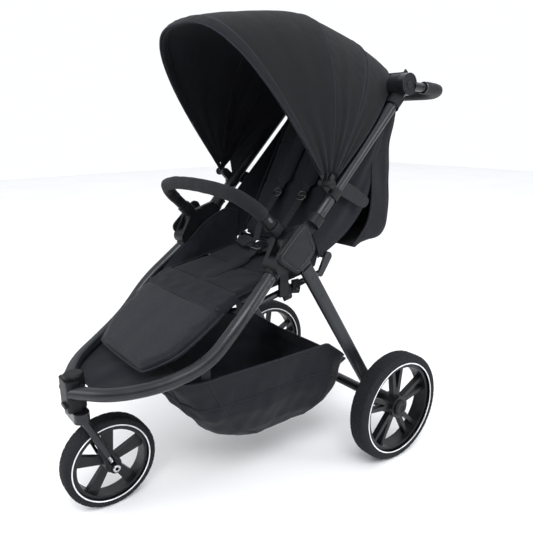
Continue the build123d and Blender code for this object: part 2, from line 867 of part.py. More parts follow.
# ---- wheels ----
def hub_plane(centre, x):
    """The plane of a wheel's section: local x is +X and local y is +Z."""
    return Plane(origin=(x, *centre), x_dir=(1, 0, 0), z_dir=(0, -1, 0))


def tyre(centre, x, radius, width, seat):
    """A foam tyre with rounded shoulders."""
    with BuildPart() as piece:
        with BuildSketch(hub_plane(centre, x)):
            with Locations((0, (radius + seat) / 2)):
                RectangleRounded(width, radius - seat, 0.42 * (radius - seat))
        revolve(axis=Axis((x, *centre), (1, 0, 0)))
    return piece.part


def spoke_points(angle, r0, r1, w0, w1):
    """Four corners of a tapering spoke at an angle in the wheel's plane."""
    a = math.radians(angle)
    out = (math.cos(a), math.sin(a))
    across = (-out[1], out[0])
    corners = []
    for r, w in ((r0, w0), (r1, w1), (r1, -w1), (r0, -w0)):
        corners.append((r * out[0] + w * across[0], r * out[1] + w * across[1]))
    return corners


def rim(centre, x, seat, ring, width, hub_r, hub_x, bore, spokes, spoke_width):
    """A moulded rim: ring, hub, and spokes given as (angle, angle) edges."""
    with BuildPart() as piece:
        with BuildSketch(side(x - width / 2)):
            with Locations(centre):
                Circle(seat)
                Circle(seat - ring, mode=Mode.SUBTRACT)
        extrude(amount=width)
        with BuildSketch(side(hub_x[0])):
            with Locations(centre):
                Circle(hub_r)
        extrude(amount=hub_x[1] - hub_x[0])
        with BuildSketch(Plane(origin=(x - spoke_width / 2, *centre), x_dir=(0, 1, 0), z_dir=(1, 0, 0))):
            for corners in spokes:
                with BuildLine():
                    Polyline(*corners, close=True)
                make_face()
        extrude(amount=spoke_width)
        with BuildSketch(side(hub_x[0])):
            with Locations(centre):
                Circle(bore)
        extrude(amount=hub_x[1] - hub_x[0], mode=Mode.SUBTRACT)
    return piece.part


REAR_SEAT = 123.0
SPOKES = 5
double_spokes = []
for i in range(SPOKES):
    for lean in (-9, 9):
        at = 90 + i * 360 / SPOKES
        double_spokes.append(spoke_points(at + lean, 26, REAR_SEAT - 5, 6.5, 5))
for sign, name in ((1, "left"), (-1, "right")):
    x = sign * REAR_X
    ends = HUB_X if sign > 0 else (-HUB_X[1], -HUB_X[0])
    with BuildPart() as rear_rim:
        add(rim(REAR_AXLE, x, REAR_SEAT, 9, 40, 30, ends, AXLE_R + RUN, double_spokes, 16))
        add(cross_rod(REAR_AXLE, 312.3 if sign > 0 else -317.3, 317.3 if sign > 0 else -312.3, 22))
    save(rear_rim, f"rear_rim_{name}")
    with BuildPart() as rear_tyre:
        add(tyre(REAR_AXLE, x, REAR_R, REAR_W, REAR_SEAT))
    save(rear_tyre, f"rear_tyre_{name}")

FRONT_SEAT = 93.0
FRONT_HUB_X = 29.5
FRONT_AXLE_R = 5.0
wide_spokes = []
for i in range(SPOKES):
    wide_spokes.append(spoke_points(90 + i * 360 / SPOKES, 15, FRONT_SEAT - 4, 9, 15))
with BuildPart() as front_rim:
    hub = (-FRONT_HUB_X, FRONT_HUB_X)
    add(rim(FRONT_AXLE, 0, FRONT_SEAT, 8, 38, 20, hub, FRONT_AXLE_R + RUN, wide_spokes, 15))
save(front_rim, "front_rim")
with BuildPart() as front_tyre:
    add(tyre(FRONT_AXLE, 0, FRONT_R, FRONT_W, FRONT_SEAT))
save(front_tyre, "front_tyre")

# ---- fork and front suspension ----
CROWN = (SWIVEL_Y, 266.0)
FORK_X = 38.0
FORK_END = (-436.0, 152.0)
fork_dir = (Vector(0, *CROWN) - Vector(0, *FRONT_AXLE)).normalized()
slot_run = aim(FRONT_AXLE, CROWN, 0)
TRAVEL = 8.0                    # suspension travel along the fork
DROPOUT_X = (31.0, 44.0)
with BuildPart() as fork:
    with BuildSketch(Plane.XY.offset(254)):
        with Locations((0, SWIVEL_Y)):
            SlotOverall(98, 36)
    extrude(amount=24)
    with BuildSketch(Plane.XY.offset(254)):
        with Locations((0, SWIVEL_Y)):
            Circle(8)
    extrude(amount=84)
    mirror_legs = [(FORK_X, SWIVEL_Y, 262), (FORK_X, *FORK_END)]
    add(rod(mirror_legs, 9))
    add(rod(both(mirror_legs, -1), 9))
save(fork, "fork")

with BuildPart() as fork_dropouts:
    with BuildSketch(side(DROPOUT_X[0])):
        with Locations(FRONT_AXLE):
            Circle(15)
        with Locations((FRONT_AXLE[0] + 58 * fork_dir.Y, FRONT_AXLE[1] + 58 * fork_dir.Z)):
            Circle(13)
        make_hull()
    extrude(amount=DROPOUT_X[1] - DROPOUT_X[0])
    add(cross_rod(FRONT_AXLE, DROPOUT_X[0], DROPOUT_X[1], FRONT_AXLE_R + RUN), mode=Mode.SUBTRACT)
    with BuildSketch(Plane(origin=(38, *FRONT_AXLE), x_dir=(1, 0, 0), z_dir=fork_dir)):
        Rectangle(20, 2 * (FRONT_AXLE_R + RUN))
    extrude(amount=34, mode=Mode.SUBTRACT)
    with BuildSketch(Plane(origin=(38, *FRONT_AXLE), x_dir=(1, 0, 0), z_dir=fork_dir).offset(15)):
        Rectangle(20, 15)
    extrude(amount=22, mode=Mode.SUBTRACT)
    add(fork.part, mode=Mode.SUBTRACT)
    mirror(about=Plane.YZ)
save(fork_dropouts, "fork_dropouts")

with BuildPart() as front_axle:
    add(cross_rod(FRONT_AXLE, -50, 50, FRONT_AXLE_R))
    for x in (44.3, -50):
        add(cross_rod(FRONT_AXLE, x, x + 5.7, 9))
save(front_axle, "front_axle")

SPRING_R = 5.0
with BuildPart() as suspension_springs:
    coil_start = Vector(38, *FRONT_AXLE) + fork_dir * 16.6
    with BuildLine() as coil:
        Helix(pitch=3.2, height=18.6, radius=SPRING_R, center=coil_start, direction=fork_dir)
    with BuildSketch(coil.line ^ 0):
        Circle(0.9)
    sweep(path=coil.line, is_frenet=True)
    mirror(about=Plane.YZ)
save(suspension_springs, "suspension_springs")

with BuildPart() as swivel_lock:
    with BuildSketch(Plane.XZ.offset(-(SWIVEL_Y - 26.5))):
        with Locations((12, 296)):
            SlotOverall(28, 9)
    extrude(amount=6)
save(swivel_lock, "swivel_lock")
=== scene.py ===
import json
import math

import bpy
import numpy as np
from mathutils import Matrix, Vector


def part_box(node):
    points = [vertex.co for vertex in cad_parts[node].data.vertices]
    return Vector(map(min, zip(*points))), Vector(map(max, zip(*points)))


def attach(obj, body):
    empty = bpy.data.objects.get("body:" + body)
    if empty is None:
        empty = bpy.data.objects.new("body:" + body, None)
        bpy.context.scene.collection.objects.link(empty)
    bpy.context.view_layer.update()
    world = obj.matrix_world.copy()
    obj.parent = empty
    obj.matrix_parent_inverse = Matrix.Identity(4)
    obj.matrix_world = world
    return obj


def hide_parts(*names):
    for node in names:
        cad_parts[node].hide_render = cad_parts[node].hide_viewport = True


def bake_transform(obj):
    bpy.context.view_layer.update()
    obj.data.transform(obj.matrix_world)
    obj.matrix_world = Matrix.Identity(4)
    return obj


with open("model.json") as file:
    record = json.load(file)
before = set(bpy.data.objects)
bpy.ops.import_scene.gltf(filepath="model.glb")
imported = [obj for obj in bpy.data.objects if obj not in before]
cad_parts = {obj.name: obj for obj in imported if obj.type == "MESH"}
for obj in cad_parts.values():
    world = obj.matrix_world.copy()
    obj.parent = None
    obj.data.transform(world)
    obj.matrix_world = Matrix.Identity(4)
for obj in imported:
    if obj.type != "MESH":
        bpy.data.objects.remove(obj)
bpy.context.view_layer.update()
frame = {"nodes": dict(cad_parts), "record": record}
NODES = frame["nodes"]
MM = 0.001

# places in the side view, (y, z) in metres
HINGE = (-0.025, 0.633)
CREASE = (0.120, 0.575)
CANOPY = (0.077, 0.765)
CALF = (-0.176, 0.497)
CALF_END = (-0.372, 0.370)
REAR_AXLE = (0.280, 0.150)
FRONT_AXLE = (-0.421, 0.115)
PUSH_LOW = (0.040, 0.6686)
PUSH_HIGH = (0.3376, 0.9748)
HANDLE = (0.330, 0.994)


# ---------------------------------------------------------------- materials
class Nodes:
    """A short way to write a material's node tree."""

    def __init__(self, name):
        self.mat = bpy.data.materials.new(name)
        self.mat.use_nodes = True
        self.tree = self.mat.node_tree
        self.bsdf = self.tree.nodes["Principled BSDF"]
        self.coord = self.tree.nodes.new("ShaderNodeTexCoord").outputs["Object"]

    def node(self, kind, **settings):
        made = self.tree.nodes.new(kind)
        for key, value in settings.items():
            setattr(made, key, value)
        return made

    def link(self, out, into):
        self.tree.links.new(out, into)

    def noise(self, scale, detail=3.0, stretch=None):
        made = self.node("ShaderNodeTexNoise")
        made.inputs["Scale"].default_value = scale
        made.inputs["Detail"].default_value = detail
        where = self.coord
        if stretch:
            mapping = self.node("ShaderNodeMapping")
            mapping.inputs["Scale"].default_value = stretch
            self.link(where, mapping.inputs["Vector"])
            where = mapping.outputs[0]
        self.link(where, made.inputs["Vector"])
        return made.outputs["Fac"]

    def math(self, kind, a, b=None, clamp=False):
        made = self.node("ShaderNodeMath", operation=kind, use_clamp=clamp)
        for socket, value in zip(made.inputs, (a, b)):
            if value is None:
                continue
            if isinstance(value, (int, float)):
                socket.default_value = value
            else:
                self.link(value, socket)
        return made.outputs[0]

    def spread(self, value, low, high, from_low=0.3, from_high=0.7):
        made = self.node("ShaderNodeMapRange")
        made.inputs["From Min"].default_value = from_low
        made.inputs["From Max"].default_value = from_high
        made.inputs["To Min"].default_value = low
        made.inputs["To Max"].default_value = high
        self.link(value, made.inputs["Value"])
        return made.outputs[0]

    def mix(self, share, a, b):
        made = self.node("ShaderNodeMix", data_type="RGBA")
        self.link(share, made.inputs[0])
        for socket, value in ((made.inputs[6], a), (made.inputs[7], b)):
            if isinstance(value, tuple):
                socket.default_value = (*value, 1)
            else:
                self.link(value, socket)
        return made.outputs[2]

    def weave(self, pitch):
        """A woven grid in space: high where threads cross over, low between them."""
        scaled = self.node("ShaderNodeVectorMath", operation="SCALE")
        scaled.inputs["Scale"].default_value = 2 * math.pi / pitch
        self.link(self.coord, scaled.inputs[0])
        waves = self.node("ShaderNodeVectorMath", operation="SINE")
        self.link(scaled.outputs[0], waves.inputs[0])
        parts = self.node("ShaderNodeSeparateXYZ")
        self.link(waves.outputs[0], parts.inputs[0])
        x, y, z = parts.outputs
        total = self.math("ADD", self.math("MULTIPLY", x, y), self.math("MULTIPLY", y, z))
        total = self.math("ADD", total, self.math("MULTIPLY", z, x))
        return self.math("MULTIPLY_ADD", total, 0.25)

    def bump(self, height, distance, strength=1.0, under=None):
        made = self.node("ShaderNodeBump")
        made.inputs["Strength"].default_value = strength
        made.inputs["Distance"].default_value = distance
        self.link(height, made.inputs["Height"])
        if under is not None:
            self.link(under, made.inputs["Normal"])
        return made.outputs[0]

    def edges(self, radius):
        """(softened normal, share of wear along convex edges)."""
        bevel = self.node("ShaderNodeBevel", samples=4)
        bevel.inputs["Radius"].default_value = radius
        plain = self.node("ShaderNodeNewGeometry")
        dot = self.node("ShaderNodeVectorMath", operation="DOT_PRODUCT")
        self.link(bevel.outputs[0], dot.inputs[0])
        self.link(plain.outputs["Normal"], dot.inputs[1])
        return bevel.outputs[0], self.spread(dot.outputs["Value"], 1, 0, 0.75, 0.985)


def shade(n, rough, metallic=0.0, spec=0.5, sheen=0.0, coat=0.0):
    n.bsdf.inputs["Roughness"].default_value = rough
    n.bsdf.inputs["Metallic"].default_value = metallic
    n.bsdf.inputs["Specular IOR Level"].default_value = spec
    n.bsdf.inputs["Sheen Weight"].default_value = sheen
    n.bsdf.inputs["Sheen Roughness"].default_value = 0.5
    n.bsdf.inputs["Coat Weight"].default_value = coat
    n.bsdf.inputs["Coat Roughness"].default_value = 0.25


def fabric(name, colour, pitch=0.0011, depth=0.00035, crumple=0.0012, sheen=0.05, rough=0.82):
    """Woven polyester: crossing threads, faint slubs, soft creases and dusty high spots."""
    n = Nodes(name)
    shade(n, rough, 0, 0.16, sheen)
    dark = tuple(c * 0.72 for c in colour)
    light = tuple(min(1, c * 1.35 + 0.002) for c in colour)
    patches = n.spread(n.noise(9, 4), 0, 1)
    slubs = n.noise(420, 2, (1, 1, 0.12))
    share = n.math("MULTIPLY_ADD", slubs, 0.5)
    share.node.inputs[2].default_value = -0.05
    share = n.math("ADD", share, n.math("MULTIPLY", patches, 0.45), True)
    n.link(n.mix(share, dark, light), n.bsdf.inputs["Base Color"])
    n.link(n.spread(patches, rough - 0.07, rough + 0.08, 0, 1), n.bsdf.inputs["Roughness"])
    threads = n.math("ADD", n.weave(pitch), n.math("MULTIPLY", slubs, 0.3))
    soft = n.bump(n.noise(28, 3), crumple)
    n.link(n.bump(threads, depth, 0.8, soft), n.bsdf.inputs["Normal"])
    return n.mat


def plastic(name, colour, rough=0.5, grain=0.00012, spec=0.45, bevel=0.0012, coat=0.0):
    """Moulded plastic: fine spark-eroded grain, scuffs and edges rubbed brighter."""
    n = Nodes(name)
    shade(n, rough, 0, spec, 0, coat)
    normal, worn = n.edges(bevel)
    scuffs = n.spread(n.noise(34, 6), 0, 1, 0.42, 0.72)
    rubbed = n.math("MULTIPLY", worn, n.spread(n.noise(60, 3), 0.35, 1))
    tone = n.mix(scuffs, tuple(c * 0.85 for c in colour), tuple(c * 1.2 + 0.001 for c in colour))
    n.link(n.mix(rubbed, tone, tuple(c * 2.2 + 0.012 for c in colour)), n.bsdf.inputs["Base Color"])
    n.link(n.spread(scuffs, rough - 0.06, rough + 0.1, 0, 1), n.bsdf.inputs["Roughness"])
    n.link(n.bump(n.noise(2600, 2), grain, 0.6, normal), n.bsdf.inputs["Normal"])
    return n.mat


def coated_tube(name, colour, rough=0.34):
    """Satin anodised tube: even sheen, faint drawing lines and light handling marks."""
    n = Nodes(name)
    shade(n, rough, 0.55, 0.5, 0, 0.15)
    normal, worn = n.edges(0.0008)
    marks = n.spread(n.noise(26, 5), 0, 1, 0.45, 0.75)
    tone = n.mix(marks, colour, tuple(c * 1.3 + 0.003 for c in colour))
    rubbed = n.math("MULTIPLY", worn, 0.6)
    n.link(n.mix(rubbed, tone, tuple(c * 2 + 0.06 for c in colour)), n.bsdf.inputs["Base Color"])
    n.link(n.spread(marks, rough - 0.04, rough + 0.1, 0, 1), n.bsdf.inputs["Roughness"])
    n.link(n.bump(n.noise(900, 2, (1, 0.2, 0.2)), 0.00004, 0.4, normal), n.bsdf.inputs["Normal"])
    return n.mat


def steel(name, colour=(0.55, 0.56, 0.58), rough=0.28):
    n = Nodes(name)
    shade(n, rough, 1.0)
    tarnish = n.spread(n.noise(140, 4), 0, 1)
    n.link(n.mix(tarnish, tuple(c * 0.7 for c in colour), colour), n.bsdf.inputs["Base Color"])
    n.link(n.spread(tarnish, rough + 0.1, rough - 0.05, 0, 1), n.bsdf.inputs["Roughness"])
    n.link(n.bump(n.noise(1500, 2), 0.00004, 0.5), n.bsdf.inputs["Normal"])
    return n.mat


def leather(name, colour, rough=0.5, pitch=520.0):
    """Imitation leather: pebbled grain, darker in the pores, polished on the pebbles."""
    n = Nodes(name)
    shade(n, rough, 0, 0.24)
    cells = n.node("ShaderNodeTexVoronoi", feature="DISTANCE_TO_EDGE")
    cells.inputs["Scale"].default_value = pitch
    n.link(n.coord, cells.inputs["Vector"])
    pebble = n.spread(cells.outputs["Distance"], 0, 1, 0.0, 0.35)
    soft = n.noise(40, 4)
    tone = n.mix(pebble, tuple(c * 0.6 for c in colour), tuple(c * 1.15 for c in colour))
    rubbed = tuple(c * 1.8 + 0.004 for c in colour)
    n.link(n.mix(n.spread(soft, 0, 0.35), tone, rubbed), n.bsdf.inputs["Base Color"])
    n.link(n.spread(pebble, rough + 0.14, rough - 0.08, 0, 1), n.bsdf.inputs["Roughness"])
    n.link(n.bump(pebble, 0.00022, 0.7, n.bump(soft, 0.0006)), n.bsdf.inputs["Normal"])
    return n.mat


def rubber(name, colour):
    """Foam tyre: matte skin with fine pores, dust in the hollows, paler worn high spots."""
    n = Nodes(name)
    shade(n, 0.78, 0, 0.16)
    point = n.node("ShaderNodeNewGeometry").outputs["Pointiness"]
    high = n.spread(point, 0, 1, 0.49, 0.54)
    dust = n.spread(n.noise(22, 5), 0, 1)
    tone = n.mix(dust, tuple(c * 0.8 for c in colour), tuple(c * 1.25 for c in colour))
    worn = tuple(c * 1.9 for c in colour)
    n.link(n.mix(n.math("MULTIPLY", high, 0.5), tone, worn), n.bsdf.inputs["Base Color"])
    n.link(n.spread(dust, 0.68, 0.86, 0, 1), n.bsdf.inputs["Roughness"])
    n.link(n.bump(n.noise(1400, 3), 0.00018, 0.7, n.bump(n.noise(160, 3), 0.0003)), n.bsdf.inputs["Normal"])
    return n.mat


NAVY = fabric("navy_polyester", (0.0066, 0.0073, 0.0112))
CANOPY_CLOTH = fabric("canopy_polyester", (0.0058, 0.0063, 0.0088), crumple=0.0016, rough=0.72)
CALF_CLOTH = fabric("calf_polyester", (0.0082, 0.0090, 0.0136), crumple=0.0006, sheen=0.1)
BASKET_CLOTH = fabric("basket_polyester", (0.0068, 0.0075, 0.0112), crumple=0.0022, rough=0.74)
SLEEVE_CLOTH = fabric("sleeve_polyester", (0.0078, 0.0081, 0.0102), 0.0016, 0.0006, 0.0005)
# lining cloth coloured darker than the outer cloth: painted shade on the insides of the canopy, flap and bow
# channels and in the eyelet holes
LINING_PAINTED_SHADE = fabric("lining_polyester_painted_shade", (0.0045, 0.0047, 0.0060), 0.0014, 0.0004, 0.001)
WEBBING = fabric("webbing_nylon", (0.009, 0.0095, 0.0125), 0.0018, 0.0007, 0.0003, 0.05, 0.7)
PIPING = fabric("piping_cord", (0.0135, 0.0145, 0.021), 0.0012, 0.0003, 0.0002)
THREAD = fabric("sewing_thread", (0.018, 0.019, 0.025), 0.0006, 0.0002, 0.0001, 0.1, 0.65)
TUBE = coated_tube("satin_tube", (0.013, 0.0138, 0.0172))
MOULDED = plastic("moulded_black", (0.0062, 0.0065, 0.0078), spec=0.2)
GLOSSY = plastic("gloss_black", (0.010, 0.0105, 0.012), 0.24, 0.00003, 0.55, 0.0008, 0.4)
RIM = plastic("rim_black", (0.0075, 0.0078, 0.0092), 0.38, 0.00006, 0.28, 0.0014)
BOW = plastic("bow_strip", (0.007, 0.0073, 0.009), 0.42, 0.00005, 0.25)
BOLT = steel("zinc_bolt")
RIVET = steel("black_rivet", (0.05, 0.051, 0.056), 0.38)
COIL = steel("spring_steel", (0.62, 0.63, 0.65), 0.22)
PAD_LEATHER = leather("pad_leather", (0.0068, 0.0074, 0.0100), 0.42)
GRIP_LEATHER = leather("grip_leather", (0.0105, 0.011, 0.0125), 0.5, 420)
TYRE = rubber("foam_tyre", (0.0105, 0.011, 0.0128))
WHITE = plastic("reflector_white", (0.78, 0.79, 0.80), 0.4, 0.00006, 0.5, 0.0004)

CAD_LOOKS = {
    "frame_tube": TUBE,
    "moulding": MOULDED,
    "button": GLOSSY,
    "steel": BOLT,
    "spring": COIL,
    "side_pad": PAD_LEATHER,
    "grip": GRIP_LEATHER,
    "seat_fabric": NAVY,
    "basket_fabric": BASKET_CLOTH,
    "canopy_fabric": CANOPY_CLOTH,
    "calf_fabric": CALF_CLOTH,
    "sleeve_fabric": SLEEVE_CLOTH,
    "webbing": WEBBING,
    "bow": BOW,
    "rim": RIM,
    "tyre": TYRE,
}
for part in frame["record"]["subparts"]:
    node = NODES[part["node"]]
    node.data.materials.clear()
    node.data.materials.append(CAD_LOOKS[part["material_slot"]])
for name in ("frame_rivets", "hinge_pins"):
    NODES[name].data.materials[0] = RIVET


# ---------------------------------------------------------------- mesh tools
def waves(points, size, seed, count=7):
    """Smooth deterministic noise, about -1 to 1, with features of that size."""
    rng = np.random.RandomState(seed)
    p = np.asarray(points, float)
    total = np.zeros(p.shape[:-1])
    for _ in range(count):
        direction = rng.normal(size=3)
        direction *= rng.uniform(0.6, 1.5) / (np.linalg.norm(direction) * size)
        total += np.sin(p @ direction * 2 * math.pi + rng.uniform(0, 2 * math.pi))
    return total / math.sqrt(count)


def unit(v):
    v = np.asarray(v, float)
    return v / np.maximum(np.linalg.norm(v, axis=-1, keepdims=True), 1e-12)


def along_of(path):
    """The direction of travel at each point of a path."""
    return unit(np.gradient(np.asarray(path, float), axis=0))


def distances(path):
    """How far along the path each point lies."""
    return np.concatenate([[0], np.cumsum(np.linalg.norm(np.diff(path, axis=0), axis=1))])


def resample(line, u):
    """The line's points at the shares u of its point count."""
    s = np.linspace(0, 1, len(line))
    return np.stack([np.interp(u, s, line[:, i]) for i in range(line.shape[1])], 1)


def ruled(first, second, rows, cols):
    """Points between two lines, with each point's share along and across."""
    u, v = np.linspace(0, 1, rows), np.linspace(0, 1, cols)
    across = v[None, :, None]
    flat = resample(first, u)[:, None] * (1 - across) + resample(second, u)[:, None] * across
    uu, vv = np.meshgrid(u, v, indexing="ij")
    return flat, uu, vv


def superellipse(value, power):
    return np.sign(value) * np.abs(value) ** (2 / power)


def closed_loop(points):
    return np.vstack([points, points[:1]])


def hoop(centre, first, second, radius, ring):
    """A circle of that radius round a centre, in the plane of two directions, closed."""
    return closed_loop(centre + radius * (ring[:, :1] * first + ring[:, 1:] * second))


def grid_normals(grid, around=False):
    if around:
        du = np.roll(grid, -1, 0) - np.roll(grid, 1, 0)
    else:
        du = np.gradient(grid, axis=0)
    return unit(np.cross(du, np.gradient(grid, axis=1)))


def grid_faces(nu, nv, around=False, flip=False):
    i, j = np.meshgrid(np.arange(nu if around else nu - 1), np.arange(nv - 1), indexing="ij")
    k = (i + 1) % nu
    faces = np.stack([i * nv + j, k * nv + j, k * nv + j + 1, i * nv + j + 1], -1).reshape(-1, 4)
    return faces[:, ::-1] if flip else faces


# three rings of five points with a cap at each end
STITCH_FACES = [
    [i * 5 + j, i * 5 + (j + 1) % 5, i * 5 + 5 + (j + 1) % 5, i * 5 + 5 + j]
    for i in (0, 1)
    for j in range(5)
] + [[4, 3, 2, 1, 0], [10, 11, 12, 13, 14]]


class Piece:
    """Collects meshes, each with its own material, into one object."""

    def __init__(self):
        self.points, self.faces, self.looks, self.count = [], [], [], 0

    def add(self, points, faces, look=0):
        points = np.asarray(points, float).reshape(-1, 3)
        for face in faces:
            self.faces.append([int(v) + self.count for v in face])
            self.looks.append(look)
        self.points.append(points)
        self.count += len(points)

    def shell(self, grid, thick, look=0, inner_look=None, around=False):
        """A cloth of that thickness behind a grid of points, its edges closed."""
        nu, nv = grid.shape[:2]
        inner = grid - grid_normals(grid, around) * thick
        base = self.count
        self.add(grid, grid_faces(nu, nv, around), look)
        self.add(inner, grid_faces(nu, nv, around, True), look if inner_look is None else inner_look)
        off = nu * nv
        rim = []
        for i in range(nu if around else nu - 1):
            k = (i + 1) % nu
            rim.append([k * nv, i * nv, i * nv + off, k * nv + off])
            rim.append([i * nv + nv - 1, k * nv + nv - 1, k * nv + nv - 1 + off, i * nv + nv - 1 + off])
        if not around:
            for j in range(nv - 1):
                rim.append([j, j + 1, j + 1 + off, j + off])
                a = (nu - 1) * nv
                rim.append([a + j + 1, a + j, a + j + off, a + j + 1 + off])
        for face in rim:
            self.faces.append([v + base for v in face])
            self.looks.append(look)

    def sweep(self, path, section, ups, look=0, closed=False):
        """A section, (across, up) per point, carried along a path whose up vectors are given."""
        path = np.asarray(path, float)
        if closed:
            along = unit(np.roll(path, -1, 0) - np.roll(path, 1, 0))
        else:
            along = along_of(path)
        ups = np.broadcast_to(np.asarray(ups, float), path.shape)
        across = unit(np.cross(along, ups))
        ups = unit(np.cross(across, along))
        section = np.asarray(section, float)
        if section.ndim == 2:
            section = np.broadcast_to(section, (len(path), *section.shape))
        rings = path[:, None] + across[:, None] * section[..., :1] + ups[:, None] * section[..., 1:]
        n, m = rings.shape[:2]
        faces = []
        for i in range(n if closed else n - 1):
            k = (i + 1) % n
            for j in range(m):
                q = (j + 1) % m
                faces.append([i * m + j, i * m + q, k * m + q, k * m + j])
        if not closed:
            faces.append(list(range(m))[::-1])
            faces.append([(n - 1) * m + j for j in range(m)])
        self.add(rings, faces, look)

    def cord(self, path, radius, look=0, closed=False, sides=8):
        radius = np.broadcast_to(np.asarray(radius, float), (len(path),))
        ring = circle(sides)
        along = along_of(path)
        up = np.array([0.37, 0.21, 0.9])
        ups = np.broadcast_to(up, along.shape)
        bad = np.abs((along * unit(up)).sum(1)) > 0.95
        if bad.any():
            ups = np.broadcast_to(np.array([0.9, -0.3, 0.1]), along.shape)
        self.sweep(path, radius[:, None, None] * ring[None], ups, look, closed)

    def stitches(self, path, look, length=0.0034, gap=0.0016, radius=0.00042, closed=False):
        """Dashes of thread laid along a path."""
        path = np.asarray(path, float)
        if closed:
            path = closed_loop(path)
        at = distances(path)
        ring = circle(5)
        start = 0.001
        while start + length < at[-1]:
            ends = [start, start + length * 0.5, start + length]
            p = np.stack([np.interp(ends, at, path[:, i]) for i in range(3)], 1)
            size = np.array([0.35, 1.0, 0.35]) * radius
            along = unit(p[2] - p[0])
            side = unit(np.cross(along, [0.31, 0.52, 0.79]))
            up = np.cross(side, along)
            rings = p[:, None] + size[:, None, None] * (ring[None, :, :1] * side + ring[None, :, 1:] * up)
            self.add(rings, STITCH_FACES, look)
            start += length + gap

    def turned(self, profile, centre, axis, look=0, count=28):
        """A profile, (radius, height) per point, turned about an axis."""
        axis = unit(axis)
        side = unit(np.cross(axis, [0.2, 0.5, 0.84]))
        other = np.cross(axis, side)
        a = np.linspace(0, 2 * math.pi, count, endpoint=False)
        ring = np.cos(a)[:, None] * side + np.sin(a)[:, None] * other
        profile = np.asarray(profile, float)
        points = np.asarray(centre) + ring[:, None] * profile[None, :, :1] + axis * profile[None, :, 1:]
        self.add(points, grid_faces(count, len(profile), True, True), look)

    def build(self, name, looks, body=None, slot=None, replaces=()):
        mesh = bpy.data.meshes.new(name)
        mesh.from_pydata(np.vstack(self.points).tolist(), [], self.faces)
        for look in looks:
            mesh.materials.append(look)
        mesh.polygons.foreach_set("material_index", self.looks)
        mesh.polygons.foreach_set("use_smooth", [True] * len(mesh.polygons))
        mesh.update()
        made = bpy.data.objects.new(name, mesh)
        bpy.context.scene.collection.objects.link(made)
        if body:
            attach(made, body)
        if replaces:
            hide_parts(*replaces)
        return made


def circle(sides, radius=1.0):
    a = np.linspace(0, 2 * math.pi, sides, endpoint=False)
    return np.stack([np.cos(a), np.sin(a)], 1) * radius


def slab(width, thick, sides=20, power=4.0):
    """A flat rounded section: wide across, thin up."""
    a = np.linspace(0, 2 * math.pi, sides, endpoint=False)
    c, s = np.cos(a), np.sin(a)
    x = superellipse(c, power) * width / 2
    y = superellipse(s, power) * thick / 2
    return np.stack([x, y], 1)


def rounded(points, step=0.004, share=0.45):
    """Straight runs joined by tangent arcs as large as the runs allow, as evenly spaced points."""
    p = [np.asarray(q, float) for q in points]
    out = [p[0]]
    for a, b, c in zip(p, p[1:], p[2:]):
        u, w = unit(a - b), unit(c - b)
        reach = share * min(np.linalg.norm(a - b), np.linalg.norm(c - b))
        turn = math.pi - math.acos(float(np.clip(u @ w, -1, 1)))
        radius = reach / math.tan(turn / 2)
        middle = b + unit(u + w) * (radius / math.cos(turn / 2))
        start, end = b + u * reach, b + w * reach
        r0 = start - middle
        r1 = end - middle
        for t in np.linspace(0, 1, 14):
            out.append(middle + (math.sin((1 - t) * turn) * r0 + math.sin(t * turn) * r1) / math.sin(turn))
    out.append(p[-1])
    return even(np.array(out), step)


def even(points, step, closed=False):
    points = np.asarray(points, float)
    if closed:
        points = closed_loop(points)
    at = distances(points)
    count = max(3, int(round(at[-1] / step)) + 1)
    s = np.linspace(0, at[-1], count)
    if closed:
        s = s[:-1]
    return np.stack([np.interp(s, at, points[:, i]) for i in range(points.shape[1])], 1)


def smooth_line(points, step=0.004, closed=False, rounds=3):
    """Corners cut again and again until the line is a smooth curve."""
    p = np.asarray(points, float)
    for _ in range(rounds):
        nxt = np.roll(p, -1, 0) if closed else p[1:]
        cur = p if closed else p[:-1]
        cut = np.stack([cur * 0.75 + nxt * 0.25, cur * 0.25 + nxt * 0.75], 1).reshape(-1, p.shape[1])
        p = cut if closed else np.vstack([p[:1], cut, p[-1:]])
    return even(p, step, closed)


# ---------------------------------------------------------------- canopy
# lean back in degrees, half width, height and squareness of the cloth's inside, in mm
STATIONS = np.array([
    (-35.4, 224, 434.4, 2.77),
    (-32.6, 224, 434.4, 2.77),
    (-26, 225.4, 422, 2.7),
    (-18, 226.6, 411, 2.65),
    (-10, 228.4, 405, 2.6),
    (-3, 230.4, 403, 2.5),
    (8.1, 230.4, 403, 2.5),
    (14, 233.4, 402.4, 2.5),
    (19.5, 236.6, 404.6, 2.5),
    (25, 236.6, 408, 2.5),
    (30.7, 236.6, 411.6, 2.5),
    (37, 236.6, 424, 2.5),
    (43, 236.6, 437, 2.5),
    (48.5, 236.6, 445, 2.5),
])


def hood_point(tilt, t, lift=0.0):
    """A place on the canopy: its lean in degrees, t from 0 at the left foot to 1 at the right."""
    half_width, height, power = (np.interp(tilt, STATIONS[:, 0], STATIONS[:, i]) for i in (1, 2, 3))
    foot = np.arcsin((26.0 / height) ** (power / 2))
    angle = foot + (math.pi - 2 * foot) * t
    c, s = np.cos(angle), np.sin(angle)
    x = superellipse(c, power) * (half_width + lift)
    z = s ** (2 / power) * (height + lift)
    lean = np.radians(tilt)
    y = CANOPY[0] + z * MM * np.sin(lean)
    return np.stack(np.broadcast_arrays(x * MM, y, CANOPY[1] + z * MM * np.cos(lean)), -1)


def hood_line(tilt, lift, count=190, low=0.0, high=1.0):
    return hood_point(np.full(count, tilt), np.linspace(low, high, count), lift)


